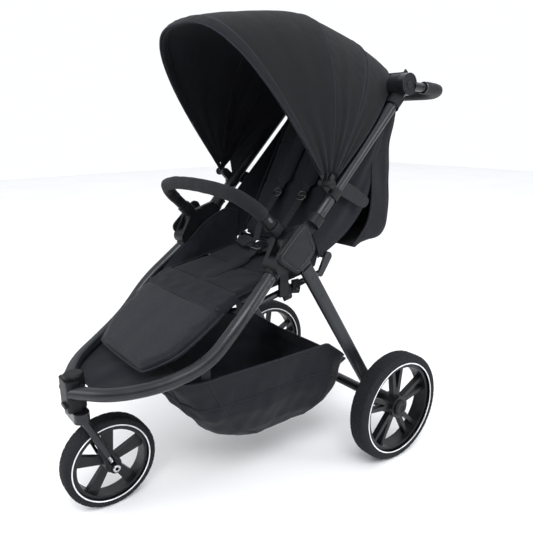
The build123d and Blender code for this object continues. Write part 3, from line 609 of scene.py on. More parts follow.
def hood_cloth(low, high, rows, seed, slack, fold):
    """One canopy panel between two bows: taut at its seams, slack and creased between them."""
    t = np.linspace(0, 1, 230)
    v = np.linspace(0, 1, rows)
    tt, vv = np.meshgrid(t, v, indexing="ij")
    tilt = low + (high - low) * vv
    grid = hood_point(tilt, tt, 3.0)
    radial = unit(grid - np.array([0, CANOPY[0], CANOPY[1] + 0.12]))
    inside = np.sin(math.pi * vv)
    above = np.hypot(grid[..., 1] - CANOPY[0], grid[..., 2] - CANOPY[1])
    gathers = np.sin(vv * math.pi * 5 + 0.8 * waves(grid, 0.15, seed)) * inside
    move = -slack * inside * np.minimum(1, above / 0.25)
    move += fold * 1.4 * gathers * np.exp(-above / 0.11)
    move += fold * inside * waves(grid * [1, 0.5, 0.5], 0.13, seed + 1) * 0.6
    seam = np.exp(-vv * (high - low) / 3.2) + np.exp(-(1 - vv) * (high - low) / 3.2)
    pucker = waves(grid, 0.034, seed + 2) * (1 - np.exp(-above / 0.12))
    move += 0.0009 * seam * pucker * np.minimum(1, inside * 6)
    return grid + radial * move[..., None]


def hood_seam(piece, tilt, lift, radius=0.0016, stitched=(-0.75, 0.75), cord=1, thread=2):
    piece.cord(hood_line(tilt, lift), radius, cord)
    for offset in stitched:
        piece.stitches(hood_line(tilt + offset, lift - 0.7), thread)


def hood_piece(name, low, high, rows, seed, slack, fold, node, detail):
    grid = hood_cloth(low, high, rows, seed, slack, fold)
    piece = Piece()
    # the inner face takes the darker lining look: painted shade inside the canopy
    piece.shell(grid, 0.0014, 0, 3)
    detail(piece)
    looks = [CANOPY_CLOTH, PIPING, THREAD, LINING_PAINTED_SHADE]
    made = piece.build(name, looks, slot="canopy_fabric", replaces=[node])
    middle = [hood_point(np.array(a), np.array(0.5)) for a in (low, high)]
    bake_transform(made)
    return made


def front_detail(piece):
    """The front hem: a bound edge and a stitched double band that puckers."""
    piece.cord(hood_line(-35.3, 3.1), 0.0026, 1)
    v = np.linspace(0, 1, 9)
    t = np.linspace(0, 1, 330)
    tt, vv = np.meshgrid(t, v, indexing="ij")
    band = hood_point(-35.2 + 3.4 * vv, tt, 4.1)
    out = unit(band - np.array([0, CANOPY[0], CANOPY[1] + 0.1]))
    across = np.sin(vv * math.pi)
    puff = 0.0007 * across + 0.0006 * waves(band, 0.024, 31) * across
    piece.shell(band + out * puff[..., None], 0.0012)
    piece.stitches(hood_line(-32.1, 4.7), 2)
    piece.stitches(hood_line(-34.9, 5.0), 2)
    under = hood_point(-35.0 + 3.6 * vv, tt, -0.2)
    sink = 0.0006 + 0.0008 * across * (1 + waves(band, 0.02, 33))
    # the band under the hem takes the darker lining look: painted shade under the hem
    piece.shell(under - out * sink[..., None], 0.001, 3)


def mid_detail(piece):
    hood_seam(piece, 8.2, 3.9, 0.0017)


def rear_detail(piece):
    hood_seam(piece, 30.9, 3.9, 0.0017)
    hood_seam(piece, 33.4, 3.2, 0.0013, (0.6,))
    piece.cord(hood_line(48.4, 3.0), 0.0022, 1)
    piece.stitches(hood_line(47.4, 3.2), 2)


hood_piece("canopy_front_cloth", -35.4, 8.1, 64, 11, 0.0045, 0.0030,
           "canopy_front_panel", front_detail)
hood_piece("canopy_mid_cloth", 8.1, 30.7, 40, 21, 0.0035, 0.0022,
           "canopy_mid_panel", mid_detail)
hood_piece("canopy_rear_cloth", 30.7, 48.5, 30, 41, 0.0030, 0.0026,
           "canopy_rear_panel", rear_detail)

# each bow's name, lean, half width, height and squareness
CHANNEL_SINK = 1.2
for name, tilt, half_width, height, power in (
    ("front", -33.9, 224, 434, 2.77),
    ("mid", 8.1, 230, 402, 2.5),
    ("rear", 30.7, 236, 410, 2.5),
):
    angle = np.linspace(0.30, math.pi - 0.30, 170)
    c, s = np.cos(angle), np.sin(angle)
    x = superellipse(c, power) * (half_width - CHANNEL_SINK)
    z = s ** (2 / power) * (height - CHANNEL_SINK)
    lean = math.radians(tilt)
    path = np.stack([x * MM, CANOPY[0] + z * MM * math.sin(lean), CANOPY[1] + z * MM * math.cos(lean)], 1)
    out = np.gradient(path, axis=0)
    plane = np.array([0, -math.cos(lean), math.sin(lean)])
    ups = unit(np.cross(out, plane))
    size = 1 + 0.05 * waves(path, 0.03, 51)
    section = slab(0.0165, 0.0046, 18, 3.2)
    channel = Piece()
    channel.sweep(path, section[None] * size[:, None, None], ups, 0)
    for edge in (-0.0068, 0.0068):
        channel.stitches(path + plane * edge - ups * 0.0019, 1)
    # the channels sit inside the canopy in the darker lining look: painted shade
    channel.build(f"canopy_{name}_bow_channel", [LINING_PAINTED_SHADE, THREAD], body=f"canopy_{name}",
                  slot="canopy_fabric")


# ---------------------------------------------------------------- padded seat pieces
def apply_shape(obj):
    graph = bpy.context.evaluated_depsgraph_get()
    mesh = bpy.data.meshes.new_from_object(obj.evaluated_get(graph))
    obj.modifiers.clear()
    old = obj.data
    obj.data = mesh
    bpy.data.meshes.remove(old)


def points_of(obj):
    co = np.zeros(len(obj.data.vertices) * 3)
    obj.data.vertices.foreach_get("co", co)
    return co.reshape(-1, 3)


def put_points(obj, co):
    obj.data.vertices.foreach_set("co", co.astype(np.float32).ravel())
    obj.data.update()


def stuffed(node, name, look, cap, voxel=0.0055, pressure=4.0):
    """A cushion blown up from the CAD pad of that name, like filling pressing on its cover."""
    obj = bpy.data.objects.new(name, NODES[node].data.copy())
    bpy.context.scene.collection.objects.link(obj)
    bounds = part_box(node)
    co = points_of(obj)
    co[:, 0] *= 1 - 0.003 / bounds[1][0]
    put_points(obj, co)
    remesh = obj.modifiers.new("remesh", "REMESH")
    remesh.mode = "VOXEL"
    remesh.voxel_size = voxel
    apply_shape(obj)
    start = points_of(obj)
    cloth = obj.modifiers.new("cloth", "CLOTH")
    cloth.settings.quality = 4
    cloth.settings.mass = 0.3
    cloth.settings.tension_stiffness = 12
    cloth.settings.compression_stiffness = 12
    cloth.settings.shear_stiffness = 6
    cloth.settings.bending_stiffness = 0.3
    cloth.settings.use_pressure = True
    cloth.settings.uniform_pressure_force = pressure
    cloth.settings.effector_weights.gravity = 0
    for number in range(1, 21):
        bpy.context.scene.frame_set(number)
    apply_shape(obj)
    bpy.context.scene.frame_set(1)
    move = points_of(obj) - start
    size = np.linalg.norm(move, axis=1, keepdims=True)
    put_points(obj, start + move * np.minimum(1, cap / np.maximum(size, 1e-9)))
    sub = obj.modifiers.new("sub", "SUBSURF")
    sub.levels = 1
    apply_shape(obj)
    obj.data.materials.clear()
    obj.data.materials.append(look)
    obj.data.polygons.foreach_set("use_smooth", [True] * len(obj.data.polygons))
    return obj


def pinch(obj, origin, across, normal, lines, depth, width=0.006):
    """Sewn channels: the cover is drawn in along lines at those distances across the pad."""
    co = points_of(obj)
    s = (co - np.array(origin)) @ np.array(across)
    height = (co - np.array(origin)) @ np.array(normal)
    pull = sum(np.exp(-(((s - line) / width) ** 2)) for line in lines)
    co -= np.array(normal) * (np.tanh(height / 0.005) * depth * np.minimum(pull, 1))[:, None]
    put_points(obj, co)


def crease(obj, normal, amount, size, seed, share=1.0):
    """Soft wrinkles of the cover along a direction."""
    co = points_of(obj)
    put_points(obj, co + np.array(normal) * (amount * share * waves(co, size, seed))[:, None])


def in_pad(origin, run, normal, along, up, x):
    """A point of a pad: along its run, up from its middle, at x."""
    o, r, n = np.array([0, *origin]), np.array([0, *run]), np.array([0, *normal])
    return o + r * along + n * up + np.array([x, 0, 0])


SEAT_FRONT = (-0.156, 0.503)
SEAT_RUN = unit(np.array([252.0, 46.0]))
SEAT_UP = np.array([-SEAT_RUN[1], SEAT_RUN[0]])
seat = stuffed("seat_pad", "seat_cushion", NAVY, 0.006)
pinch(seat, (0, *SEAT_FRONT), (0, *SEAT_RUN), (0, *SEAT_UP), (0.010, 0.125), 0.0035)
crease(seat, (0, *SEAT_UP), 0.0011, 0.085, 61)
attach(seat, "chassis")
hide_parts("seat_pad")

BACK_RUN = np.array([math.cos(math.radians(62)), math.sin(math.radians(62))])
BACK_UP = np.array([-BACK_RUN[1], BACK_RUN[0]])
back = stuffed("backrest_pad", "backrest_cushion", NAVY, 0.007)
pinch(back, (0, *CREASE), (0, *BACK_RUN), (0, *BACK_UP), (0.175, 0.30), 0.0035)
crease(back, (0, *BACK_UP), 0.0016, 0.09, 62)
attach(back, "backrest")
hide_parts("backrest_pad")

CALF_RUN = unit(np.array(CALF_END) - np.array(CALF))
CALF_UP = np.array([CALF_RUN[1], -CALF_RUN[0]])
calf = stuffed("leg_rest_pad", "calf_cushion", CALF_CLOTH, 0.005)
crease(calf, (0, *CALF_UP), 0.0006, 0.12, 63)
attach(calf, "leg_rest")
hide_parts("leg_rest_pad")

# piping round the pads and the seams across them
trim = Piece()
calf_length = float(np.linalg.norm(np.array(CALF_END) - np.array(CALF)))
outline = [
    (0.1825, 0.019), (0.1828, 0.060), (0.182, 0.105), (0.171, 0.166), (0.128, 0.222), (0.112, calf_length),
    (-0.112, calf_length), (-0.128, 0.222), (-0.171, 0.166), (-0.182, 0.105), (-0.1828, 0.060),
    (-0.1825, 0.019),
]
edge = smooth_line(outline, 0.004)
path = np.array([in_pad(CALF, CALF_RUN, CALF_UP, s, 0.002, x) for x, s in edge])
trim.cord(path, 0.0026, 0)
inner = np.array([in_pad(CALF, CALF_RUN, CALF_UP, s * 0.985 + 0.002, 0.0125, x * 0.962) for x, s in edge])
trim.stitches(inner, 1)
seam = np.array([in_pad(CALF, CALF_RUN, CALF_UP, 0.021, 0.0135, x) for x in np.linspace(-0.176, 0.176, 90)])
trim.cord(seam, 0.0019, 0)
trim.stitches(seam + np.array([0, CALF_RUN[0], CALF_RUN[1]]) * 0.006, 1)
trim.build("calf_piping", [PIPING, THREAD], body="leg_rest", slot="calf_fabric")

trim = Piece()
for sign in (1, -1):
    runs = np.linspace(0.03, 0.405, 90)
    line = [in_pad(CREASE, BACK_RUN, BACK_UP, s, 0.0165, sign * 0.1685) for s in runs]
    trim.cord(np.array(line), 0.0022, 0)
top = [in_pad(CREASE, BACK_RUN, BACK_UP, 0.4125, 0.012, x) for x in np.linspace(-0.166, 0.166, 90)]
trim.cord(np.array(top), 0.0022, 0)
for at in (0.175, 0.30):
    seam = [in_pad(CREASE, BACK_RUN, BACK_UP, at, 0.0175, x) for x in np.linspace(-0.16, 0.16, 120)]
    trim.stitches(np.array(seam), 1)
trim.build("backrest_piping", [PIPING, THREAD], body="backrest", slot="seat_fabric")

trim = Piece()
for sign in (1, -1):
    runs = np.linspace(0.004, 0.25, 80)
    line = [in_pad(SEAT_FRONT, SEAT_RUN, SEAT_UP, s, 0.0105, sign * 0.169) for s in runs]
    trim.cord(np.array(line), 0.0021, 0)
trim.build("seat_piping", [PIPING, THREAD], body="chassis", slot="seat_fabric")

# the cover runs on from the seat over its front edge to the calf pad
fold_line = smooth_line([
    (-0.146, 0.5195), (-0.158, 0.5185), (-0.170, 0.5130),
    (-0.184, 0.5055), (-0.198, 0.4990), (-0.2085, 0.4925),
], 0.002)
side_run = np.linspace(-1, 1, 90)
drop = 0.016 * np.clip((np.abs(side_run) - 0.90) / 0.10, 0, 1) ** 1.6
grid = np.empty((len(side_run), len(fold_line), 3))
grid[..., 0] = 0.1795 * side_run[:, None]
grid[..., 1] = fold_line[None, :, 0]
grid[..., 2] = fold_line[None, :, 1] - drop[:, None]
grid[..., 2] += 0.0012 * waves(grid, 0.05, 66) * np.sin(math.pi * np.linspace(0, 1, len(fold_line)))[None]
knee = Piece()
knee.shell(grid, 0.0014)
knee.stitches(grid[2:-2, 3] + np.array([0, 0, 0.0004]), 2)
knee.cord(grid[:, -1] + np.array([0, 0, 0.0004]), 0.0018, 1)
made = knee.build("knee_cloth", [NAVY, PIPING, THREAD], slot="seat_fabric")
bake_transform(made)


# ---------------------------------------------------------------- side wings of the seat
WING_LOW = smooth_line([
    (-0.146, 0.502), (-0.08, 0.520), (0.0, 0.537), (0.060, 0.546), (0.088, 0.552),
], 0.004)
WING_TOP = smooth_line([(-0.146, 0.508), (-0.105, 0.545), (-0.062, 0.585), (-0.030, 0.620), (0.020, 0.648),
                        (0.060, 0.664), (0.104, 0.650)], 0.004)


def wing(sign):
    flat, uu, vv = ruled(WING_LOW, WING_TOP, 70, 26)
    flare = 0.016 * vv * np.clip(1 - uu / 0.45, 0, 1) ** 0.7
    lean = 0.174 + 0.0105 * vv ** 0.6 + flare
    grid = np.stack([lean, flat[..., 0], flat[..., 1]], -1)
    tension = np.sin(math.pi * vv) * np.sin(math.pi * np.clip(uu, 0, 1))
    grid[..., 0] += tension * (-0.004 + 0.0026 * waves(grid, 0.055, 71) + 0.002 * np.sin(uu * 22 + vv * 5))
    grid[..., 0] *= sign
    return grid if sign > 0 else grid[::-1]


wings = Piece()
for sign in (1, -1):
    grid = wing(sign)
    wings.shell(grid, 0.0014)
    hem = grid[:, -1] + np.array([-sign * 0.0007, 0, 0])
    wings.cord(hem, 0.0022, 1)
    wings.stitches(grid[:, -4] + np.array([-sign * 0.0018, 0, 0]), 2)
    wings.stitches(grid[:, -4] + np.array([sign * 0.0004, 0, 0]), 2)
made = wings.build("side_wing_cloth", [NAVY, PIPING, THREAD], body="chassis",
                   slot="seat_fabric", replaces=["side_wings"])


# ---------------------------------------------------------------- side panels behind the push tubes
def back_side(sign):
    """The cover's side that runs from the push tube back round the backrest."""
    front = smooth_line([
        (0.052, 0.652), (0.120, 0.727), (0.180, 0.788), (0.240, 0.850), (0.290, 0.902), (0.318, 0.930),
    ], 0.004)
    rear = smooth_line([
        (0.092, 0.575), (0.160, 0.607), (0.220, 0.652), (0.262, 0.704),
        (0.280, 0.765), (0.306, 0.850), (0.326, 0.915),
    ], 0.004)
    flat, uu, vv = ruled(front, rear, 90, 30)
    x = 0.1935 - 0.010 * vv + 0.0045 * np.sin(math.pi * vv) - 0.03 * np.clip(vv - 0.86, 0, 1) ** 1.2
    grid = np.stack([x, flat[..., 0], flat[..., 1]], -1)
    loose = np.sin(math.pi * vv) * np.sin(math.pi * uu)
    grid[..., 0] += loose * (0.0022 * waves(grid, 0.07, 75) + 0.0016 * np.sin(vv * 14 + uu * 4))
    grid[..., 0] *= sign
    return grid if sign > 0 else grid[::-1]


sides = Piece()
for sign in (1, -1):
    grid = back_side(sign)
    sides.shell(grid, 0.0014)
    sides.cord(grid[:, -1], 0.0022, 1)
    sides.stitches(grid[:, -4] + np.array([sign * 0.0004, 0, 0]), 2)
    sides.stitches(grid[:, 10] + np.array([sign * 0.0004, 0, 0]), 2)
made = sides.build("backrest_side_cloth", [NAVY, PIPING, THREAD], body="backrest", slot="seat_fabric")


# ---------------------------------------------------------------- gussets and canopy skirt
def between(first, second, cols, seed, slack=0.0016):
    """A slightly slack sheet from one line of points to another."""
    grid, uu, vv = ruled(smooth_line(first, 0.003), smooth_line(second, 0.003), 80, cols)
    loose = np.sin(math.pi * vv) * np.sin(math.pi * uu)
    grid[..., 0] += loose * slack * waves(grid, 0.05, seed)
    return grid


def mirrored_pair(piece, grid, hems=()):
    for sign in (1, -1):
        side = grid * [sign, 1, 1]
        side = side if sign > 0 else side[::-1]
        piece.shell(side, 0.0013)
        for column in hems:
            piece.stitches(side[:, column] + np.array([sign * 0.0004, 0, 0]), 2)


gusset = Piece()
cushion_edge = [
    (0.177, -0.005, 0.531), (0.178, -0.060, 0.522), (0.179, -0.110, 0.513), (0.180, -0.158, 0.504),
]
tube_edge = [
    (0.196, -0.066, 0.566), (0.205, -0.105, 0.535), (0.212, -0.145, 0.502), (0.214, -0.178, 0.474),
]
grid = between(cushion_edge, tube_edge, 16, 77)
mirrored_pair(gusset, grid, (2, 13))
made = gusset.build("seat_gusset_cloth", [NAVY, PIPING, THREAD], body="chassis", slot="seat_fabric")

skirt = Piece()
edge = hood_line(48.2, 1.5)
edge = edge[(edge[:, 0] > 0.150) & (edge[:, 2] > CANOPY[1] + 0.030)]
edge = edge[np.argsort(edge[:, 2])]
reach = (edge[:, 1] - edge[0, 1]) / (edge[-1, 1] - edge[0, 1])
tube = np.column_stack([np.full(len(edge), 0.2005), 0.098 + 0.205 * reach, 0.734 + 0.211 * reach])
tube[:, 0] -= 0.030 * np.clip(reach - 0.6, 0, 1)
grid = between(edge[::8], tube[::8], 14, 78)
mirrored_pair(skirt, grid, (2, 11))
made = skirt.build("canopy_skirt_cloth", [CANOPY_CLOTH, PIPING, THREAD], body="push_frame",
                   slot="canopy_fabric")


# ---------------------------------------------------------------- footwell
FOOT_DEPTH = 0.157


def footwell_grid():
    u = np.linspace(-1, 1, 110)
    v = np.linspace(0, 1, 64)
    edge = smooth_line([
        (0.190, 0.0), (0.183, 0.034), (0.172, 0.068), (0.132, 0.119), (0.098, 0.146), (0.062, 0.157),
    ], 0.002)
    half = np.interp(v * FOOT_DEPTH, edge[:, 1], edge[:, 0])
    uu, vv = np.meshgrid(u, v, indexing="ij")
    x = uu * half[None, :]
    y = -0.300 - vv * FOOT_DEPTH
    z = 0.362 - 0.0015 + 0.2 * (y + 0.300)
    grid = np.stack([x, y, z], -1)
    loose = (1 - uu ** 2) * np.sin(math.pi * np.clip(vv * 0.9 + 0.05, 0, 1))
    grid[..., 2] += loose * (-0.007 + 0.0028 * waves(grid, 0.07, 81))
    grid[..., 2] += 0.0012 * np.abs(uu) ** 6 * waves(grid, 0.02, 82)
    return grid


grid = footwell_grid()
foot = Piece()
foot.shell(grid[::-1], 0.0015)
border = np.vstack([grid[0], grid[1:-1, -1], grid[-1][::-1]])
foot.cord(border, 0.0024, 1)
inset = np.vstack([grid[4, :-3], grid[5:-4, -4], grid[-5, :-3][::-1]])
foot.stitches(inset + np.array([0, 0, 0.0006]), 2)
made = foot.build("footwell_cloth", [NAVY, PIPING, THREAD], body="chassis",
                  slot="seat_fabric", replaces=["footwell"])


# ---------------------------------------------------------------- basket
BASKET = np.array([
    (98, 25, 72, 96),
    (104, 22, 92, 108),
    (122, 8, 140, 138),
    (160, -8, 190, 166),
    (225, -25, 240, 190),
    (346, -42, 288, 197),
])


def ring_share(n):
    """Where n points go round a rounded rectangle: (side x, side y, arc x, arc y) shares."""
    quarter = n // 4
    out = []
    for q in range(4):
        for k in range(quarter):
            s = k / quarter
            a = q * math.pi / 2
            if s < 0.3:
                out.append((a, s / 0.3, None))
            elif s < 0.7:
                out.append((a, 1.0, (s - 0.3) / 0.4))
            else:
                out.append((a, 1.0 + (s - 0.7) / 0.3, 1.0))
    return out


RING = 280
SHARES = ring_share(RING)


def basket_ring(z, bulge=0.0):
    """The basket's outside at one height per point of the ring."""
    centre, half_length, half_width = (np.interp(z, BASKET[:, 0], BASKET[:, i]) for i in (1, 2, 3))
    points = []
    for (a, s, arc), cz, cl, cw, zz in zip(SHARES, centre, half_length, half_width, z):
        r = 0.42 * cw
        hx, hy = (cw + bulge, cl + bulge)
        q = int(round(a / (math.pi / 2)))
        out, other = (hx, hy) if q % 2 == 0 else (hy, hx)
        if arc is None:
            local = (out, (other - r) * s)
        elif s <= 1.0:
            t = arc * math.pi / 2
            local = (out - r + r * math.cos(t), other - r + r * math.sin(t))
        else:
            local = ((out - r) * (2.0 - s), other)
        x, y = local
        for _ in range(q):
            x, y = -y, x
        points.append((x, y + cz, zz))
    return np.array(points) * MM


def rim_height(y):
    """Height of the basket's edge at y in mm: level, then down to the back."""
    level = 344 - 4 * np.clip((y + 400) / 518, 0, 1)
    return np.where(y < 118, level, np.maximum(232, 340 - (y - 118) * 0.75))


def basket_grid(rows=64):
    top = np.full(RING, 340.0)
    for _ in range(30):
        y = basket_ring(top)[:, 1] / MM
        top = 0.5 * top + 0.5 * rim_height(y)
    grid = []
    for v in np.linspace(0, 1, rows):
        grid.append(basket_ring(top + (98.0 - top) * v))
    for v in (0.8, 0.55, 0.3, 0.08):
        low = grid[rows - 1]
        middle = low.mean(0)
        grid.append(middle + (low - middle) * v)
    return np.array(grid).transpose(1, 0, 2)


grid = basket_grid()
outward = grid_normals(grid, True)
centre = grid.mean((0, 1))
if ((grid - centre) * outward).sum(-1).mean() < 0:
    outward = -outward
    grid = grid[::-1]
    outward = outward[::-1]
vv = np.broadcast_to(np.linspace(0, 1, grid.shape[1])[None], grid.shape[:2])
inside = np.sin(math.pi * np.clip(vv * 1.05, 0, 1))
low_part = 1 / (1 + np.exp(-(vv - 0.34) * 90))
sag = 0.0042 * waves(grid * [1, 1, 0.55], 0.16, 91) + 0.0022 * waves(grid, 0.06, 92)
move = inside * sag - 0.004 * inside
drape = np.exp(-((vv - 0.12) / 0.12) ** 2) * np.abs(np.sin(np.linspace(0, 2 * math.pi, RING) * 4))[:, None]
move += -0.005 * drape + 0.0012 * low_part * (vv < 0.93)
grid = grid + outward * move[..., None]
bag = Piece()
bag.shell(grid, 0.0015, around=True)
outward = grid_normals(grid, True)
bag.cord(closed_loop(grid[:, 0]), 0.0026, 1)
hem = grid[:, 5] + outward[:, 5] * 0.0004
bag.stitches(hem, 2, closed=True)
row = int(0.34 * 64)
seam = grid[:, row] + outward[:, row] * 0.0008
bag.cord(closed_loop(seam), 0.0015, 1)
bag.stitches(grid[:, row + 2] + outward[:, row + 2] * 0.0004, 2, closed=True)
quarter = RING // 4
for q in range(4):
    for s in (0.3, 0.7):
        k = int(q * quarter + s * quarter)
        side = grid[k, 1:62] + outward[k, 1:62] * 0.0006
        bag.cord(side, 0.0013, 1)
        near = grid[(k + 2) % RING, 2:62] + outward[(k + 2) % RING, 2:62] * 0.0004
        bag.stitches(near, 2)
made = bag.build("basket_cloth", [BASKET_CLOTH, PIPING, THREAD], body="chassis",
                 slot="basket_fabric", replaces=["basket"])


# ---------------------------------------------------------------- hood flap behind the canopy
FLAP_ROWS = np.array([
    (0.398, 1.030, 0.384, 1.034),
    (0.372, 0.930, 0.310, 0.930),
    (0.345, 0.842, 0.266, 0.824),
    (0.350, 0.749, 0.271, 0.762),
    (0.358, 0.662, 0.275, 0.704),
    (0.350, 0.606, 0.262, 0.645),
    (0.300, 0.592, 0.232, 0.612),
    (0.220, 0.586, 0.208, 0.592),
])


def flap_grid(rows=110, cols=150):
    v = np.linspace(0, 1, rows)
    knots = np.linspace(0, 1, len(FLAP_ROWS))
    smooth = smooth_line(np.column_stack([FLAP_ROWS, knots]), 0.01)
    data = np.stack([np.interp(v, smooth[:, 4], smooth[:, i]) for i in range(4)], 1)
    half = 0.1905
    grid = []
    for by, bz, fy, fz in data:
        depth = math.hypot(by - fy, bz - fz)
        r = min(0.030, 0.75 * depth)
        side = [(half, t) for t in np.linspace(0, depth - r, 22)]
        turn = np.linspace(0, math.pi / 2, 12)[1:]
        arc = [(half - r + r * math.cos(a), depth - r + r * math.sin(a)) for a in turn]
        back = [(x, depth) for x in np.linspace(half - r, -(half - r), cols - 64)[1:-1]]
        line = side + arc + back + [(-x, t) for x, t in arc[::-1]] + [(-x, t) for x, t in side[::-1]]
        line = np.array(line)
        way = np.array([by - fy, bz - fz]) / max(depth, 1e-6)
        grid.append(np.stack([line[:, 0], fy + way[0] * line[:, 1], fz + way[1] * line[:, 1]], 1))
    return np.array(grid).transpose(1, 0, 2)


grid = flap_grid()
outward = grid_normals(grid)
if ((grid - grid.mean((0, 1))) * outward).sum(-1).mean() < 0:
    grid = grid[::-1]
    outward = -outward[::-1]
nu, nv = grid.shape[:2]
vv = np.broadcast_to(np.linspace(0, 1, nv)[None], (nu, nv))
uu = np.broadcast_to(np.linspace(0, 1, nu)[:, None], (nu, nv))
loose = np.sin(math.pi * np.clip(vv, 0, 1)) ** 0.6 * np.sin(math.pi * uu) ** 0.35
folds = 0.0042 * waves(grid * [1.6, 1, 0.35], 0.12, 101) + 0.0022 * waves(grid * [1, 1, 0.7], 0.05, 102)
folds += 0.003 * np.sin(uu * 26 + 2 * waves(grid, 0.3, 103)) * np.exp(-((vv - 0.86) / 0.13) ** 2)
grid = grid + outward * ((folds - 0.004) * loose)[..., None]
flap = Piece()
# the inner face takes the darker lining look: painted shade inside the flap
flap.shell(grid, 0.0015, 0, 3)
outward = grid_normals(grid)
for i in (0, nu - 1):
    flap.cord(grid[i], 0.0030, 1)
    near = grid[3 if i == 0 else nu - 4] + outward[3 if i == 0 else nu - 4] * 0.0004
    flap.stitches(near, 2)
for i in (27, nu - 28):
    flap.cord(grid[i] + outward[i] * 0.0008, 0.0016, 1)
    flap.stitches(grid[i + 2] + outward[i + 2] * 0.0004, 2)
for j in (int(0.30 * nv), int(0.83 * nv)):
    flap.cord(grid[1:-1, j] + outward[1:-1, j] * 0.0006, 0.0013, 1)
    flap.stitches(grid[1:-1, j + 1] + outward[1:-1, j + 1] * 0.0004, 2)
flap.cord(grid[:, -1], 0.0026, 1)
made = flap.build("rear_flap_cloth", [CANOPY_CLOTH, PIPING, THREAD, LINING_PAINTED_SHADE], slot="canopy_fabric",
                  body="push_frame", replaces=["rear_flap"])


# ---------------------------------------------------------------- bumper sleeve and handlebar grip
SLEEVE_R = 0.0162
BUMPER = [(0.203, -0.072, 0.680), (0.202, -0.114, 0.722), (0.170, -0.139, 0.747), (0.096, -0.150, 0.759),
          (0.0, -0.152, 0.762)]
whole = BUMPER + [(-x, y, z) for x, y, z in BUMPER[-2::-1]]
bumper_line = rounded(whole, 0.003)
at = np.linalg.norm(bumper_line - np.array(BUMPER[0]), axis=1)
keep = (at > 0.0315) & (np.linalg.norm(bumper_line - np.array(whole[-1]), axis=1) > 0.0315)
path = bumper_line[keep]
sides = 40
ring = circle(sides)
along = along_of(path)
out = unit(path - np.array([0, -0.05, 0.69]))
out = unit(out - along * (out * along).sum(1, keepdims=True))
share = np.linspace(0, 1, len(path))
angle = np.linspace(0, 2 * math.pi, sides, endpoint=False)
tight = 1 - 0.05 * np.exp(-share / 0.012) - 0.05 * np.exp(-(1 - share) / 0.012)
across = np.cross(along, out)
surface = path[:, None] + SLEEVE_R * (across[:, None] * ring[None, :, :1] + out[:, None] * ring[None, :, 1:])
bend = np.linalg.norm(np.gradient(along, axis=0), axis=1)
bend = np.convolve(bend / bend.max(), np.ones(9) / 9, "same")
inner_side = np.clip(-np.sin(angle), 0, 1)
wrinkle = 1 + 0.03 * waves(surface, 0.045, 111)
wrinkle += 0.06 * (bend[:, None] * inner_side) * waves(surface, 0.016, 112)
radius = SLEEVE_R * tight[:, None] * np.minimum(wrinkle, 1.03)
section = np.stack([ring[None, :, 0] * radius, ring[None, :, 1] * radius], -1)
sleeve = Piece()
sleeve.sweep(path, section, out, 0)
under = path + (across * 0.25 - out * 0.968) * 0.0163
sleeve.cord(under[4:-4], 0.0009, 1)
sleeve.stitches(under[4:-4] + across[4:-4] * 0.003, 2)
for index in (5, int(len(path) * 0.30), int(len(path) * 0.70), len(path) - 6):
    sleeve.stitches(hoop(path[index], across[index], out[index], 0.0163, ring), 2)
for index in (1, len(path) - 2):
    sleeve.cord(hoop(path[index], across[index], out[index], 0.0152, ring), 0.0012, 1)
sleeve.build("bumper_sleeve_cloth", [SLEEVE_CLOTH, PIPING, THREAD], body="bumper", slot="sleeve_fabric",
             replaces=["bumper_sleeve"])

HANDLE_PATH = [(0.243, 0.350, 0.990), (0.238, 0.458, 0.983), (0.180, 0.520, 0.978)]
first = np.array(HANDLE_PATH[0]) + (np.array(HANDLE_PATH[1]) - np.array(HANDLE_PATH[0])) * 0.42
whole = [tuple(first)] + HANDLE_PATH[1:]
grip_line = rounded(whole + [(-x, y, z) for x, y, z in whole[::-1]], 0.003)
along = along_of(grip_line)
up = np.broadcast_to(np.array([0, 0.05, 1.0]), grip_line.shape)
up = unit(up - along * (up * along).sum(1, keepdims=True))
across = np.cross(along, up)
share = np.linspace(0, 1, len(grip_line))
bend = np.linalg.norm(np.gradient(along, axis=0), axis=1)
bend = np.convolve(bend / bend.max(), np.ones(9) / 9, "same")
round_it = across[:, None] * ring[None, :, :1] + up[:, None] * ring[None, :, 1:]
surface = grip_line[:, None] + 0.016 * round_it
ends = 1 - 0.10 * np.exp(-share / 0.006) - 0.10 * np.exp(-(1 - share) / 0.006)
uneven = 1 + 0.012 * waves(surface, 0.04, 121) + 0.02 * bend[:, None] * waves(surface, 0.014, 122)
radius = 0.0159 * ends[:, None] * uneven
section = np.stack([ring[None, :, 0] * radius, ring[None, :, 1] * radius], -1)
grip = Piece()
grip.sweep(grip_line, section, up, 0)
under = grip_line - up * 0.0161
grip.stitches(under[3:-3] + across[3:-3] * 0.0022, 1, 0.0045, 0.002, 0.0005)
grip.stitches(under[3:-3] - across[3:-3] * 0.0022, 1, 0.0045, 0.002, 0.0005)
for index in (0, len(grip_line) - 1):
    grip.cord(hoop(grip_line[index], across[index], up[index], 0.0136, ring), 0.0021, 2)
grip.build("handlebar_grip_cover", [GRIP_LEATHER, THREAD, GLOSSY], body="handlebar", slot="grip",
           replaces=["handlebar_grip"])


# ---------------------------------------------------------------- harness
def strap(piece, points, width, thick, up, look=0, thread=1, step=0.003):
    """A flat webbing strap with a line of stitches along each side."""
    path = smooth_line(points, step)
    along = along_of(path)
    ups = np.broadcast_to(np.asarray(up, float), path.shape)
    ups = unit(ups - along * (ups * along).sum(1, keepdims=True))
    across = np.cross(along, ups)
    piece.sweep(path, slab(width, thick, 22, 6), ups, look)
    for sign in (1, -1):
        piece.stitches(path + across * sign * (width / 2 - 0.0032) + ups * (thick / 2 + 0.0001), thread)
    return path, across, ups


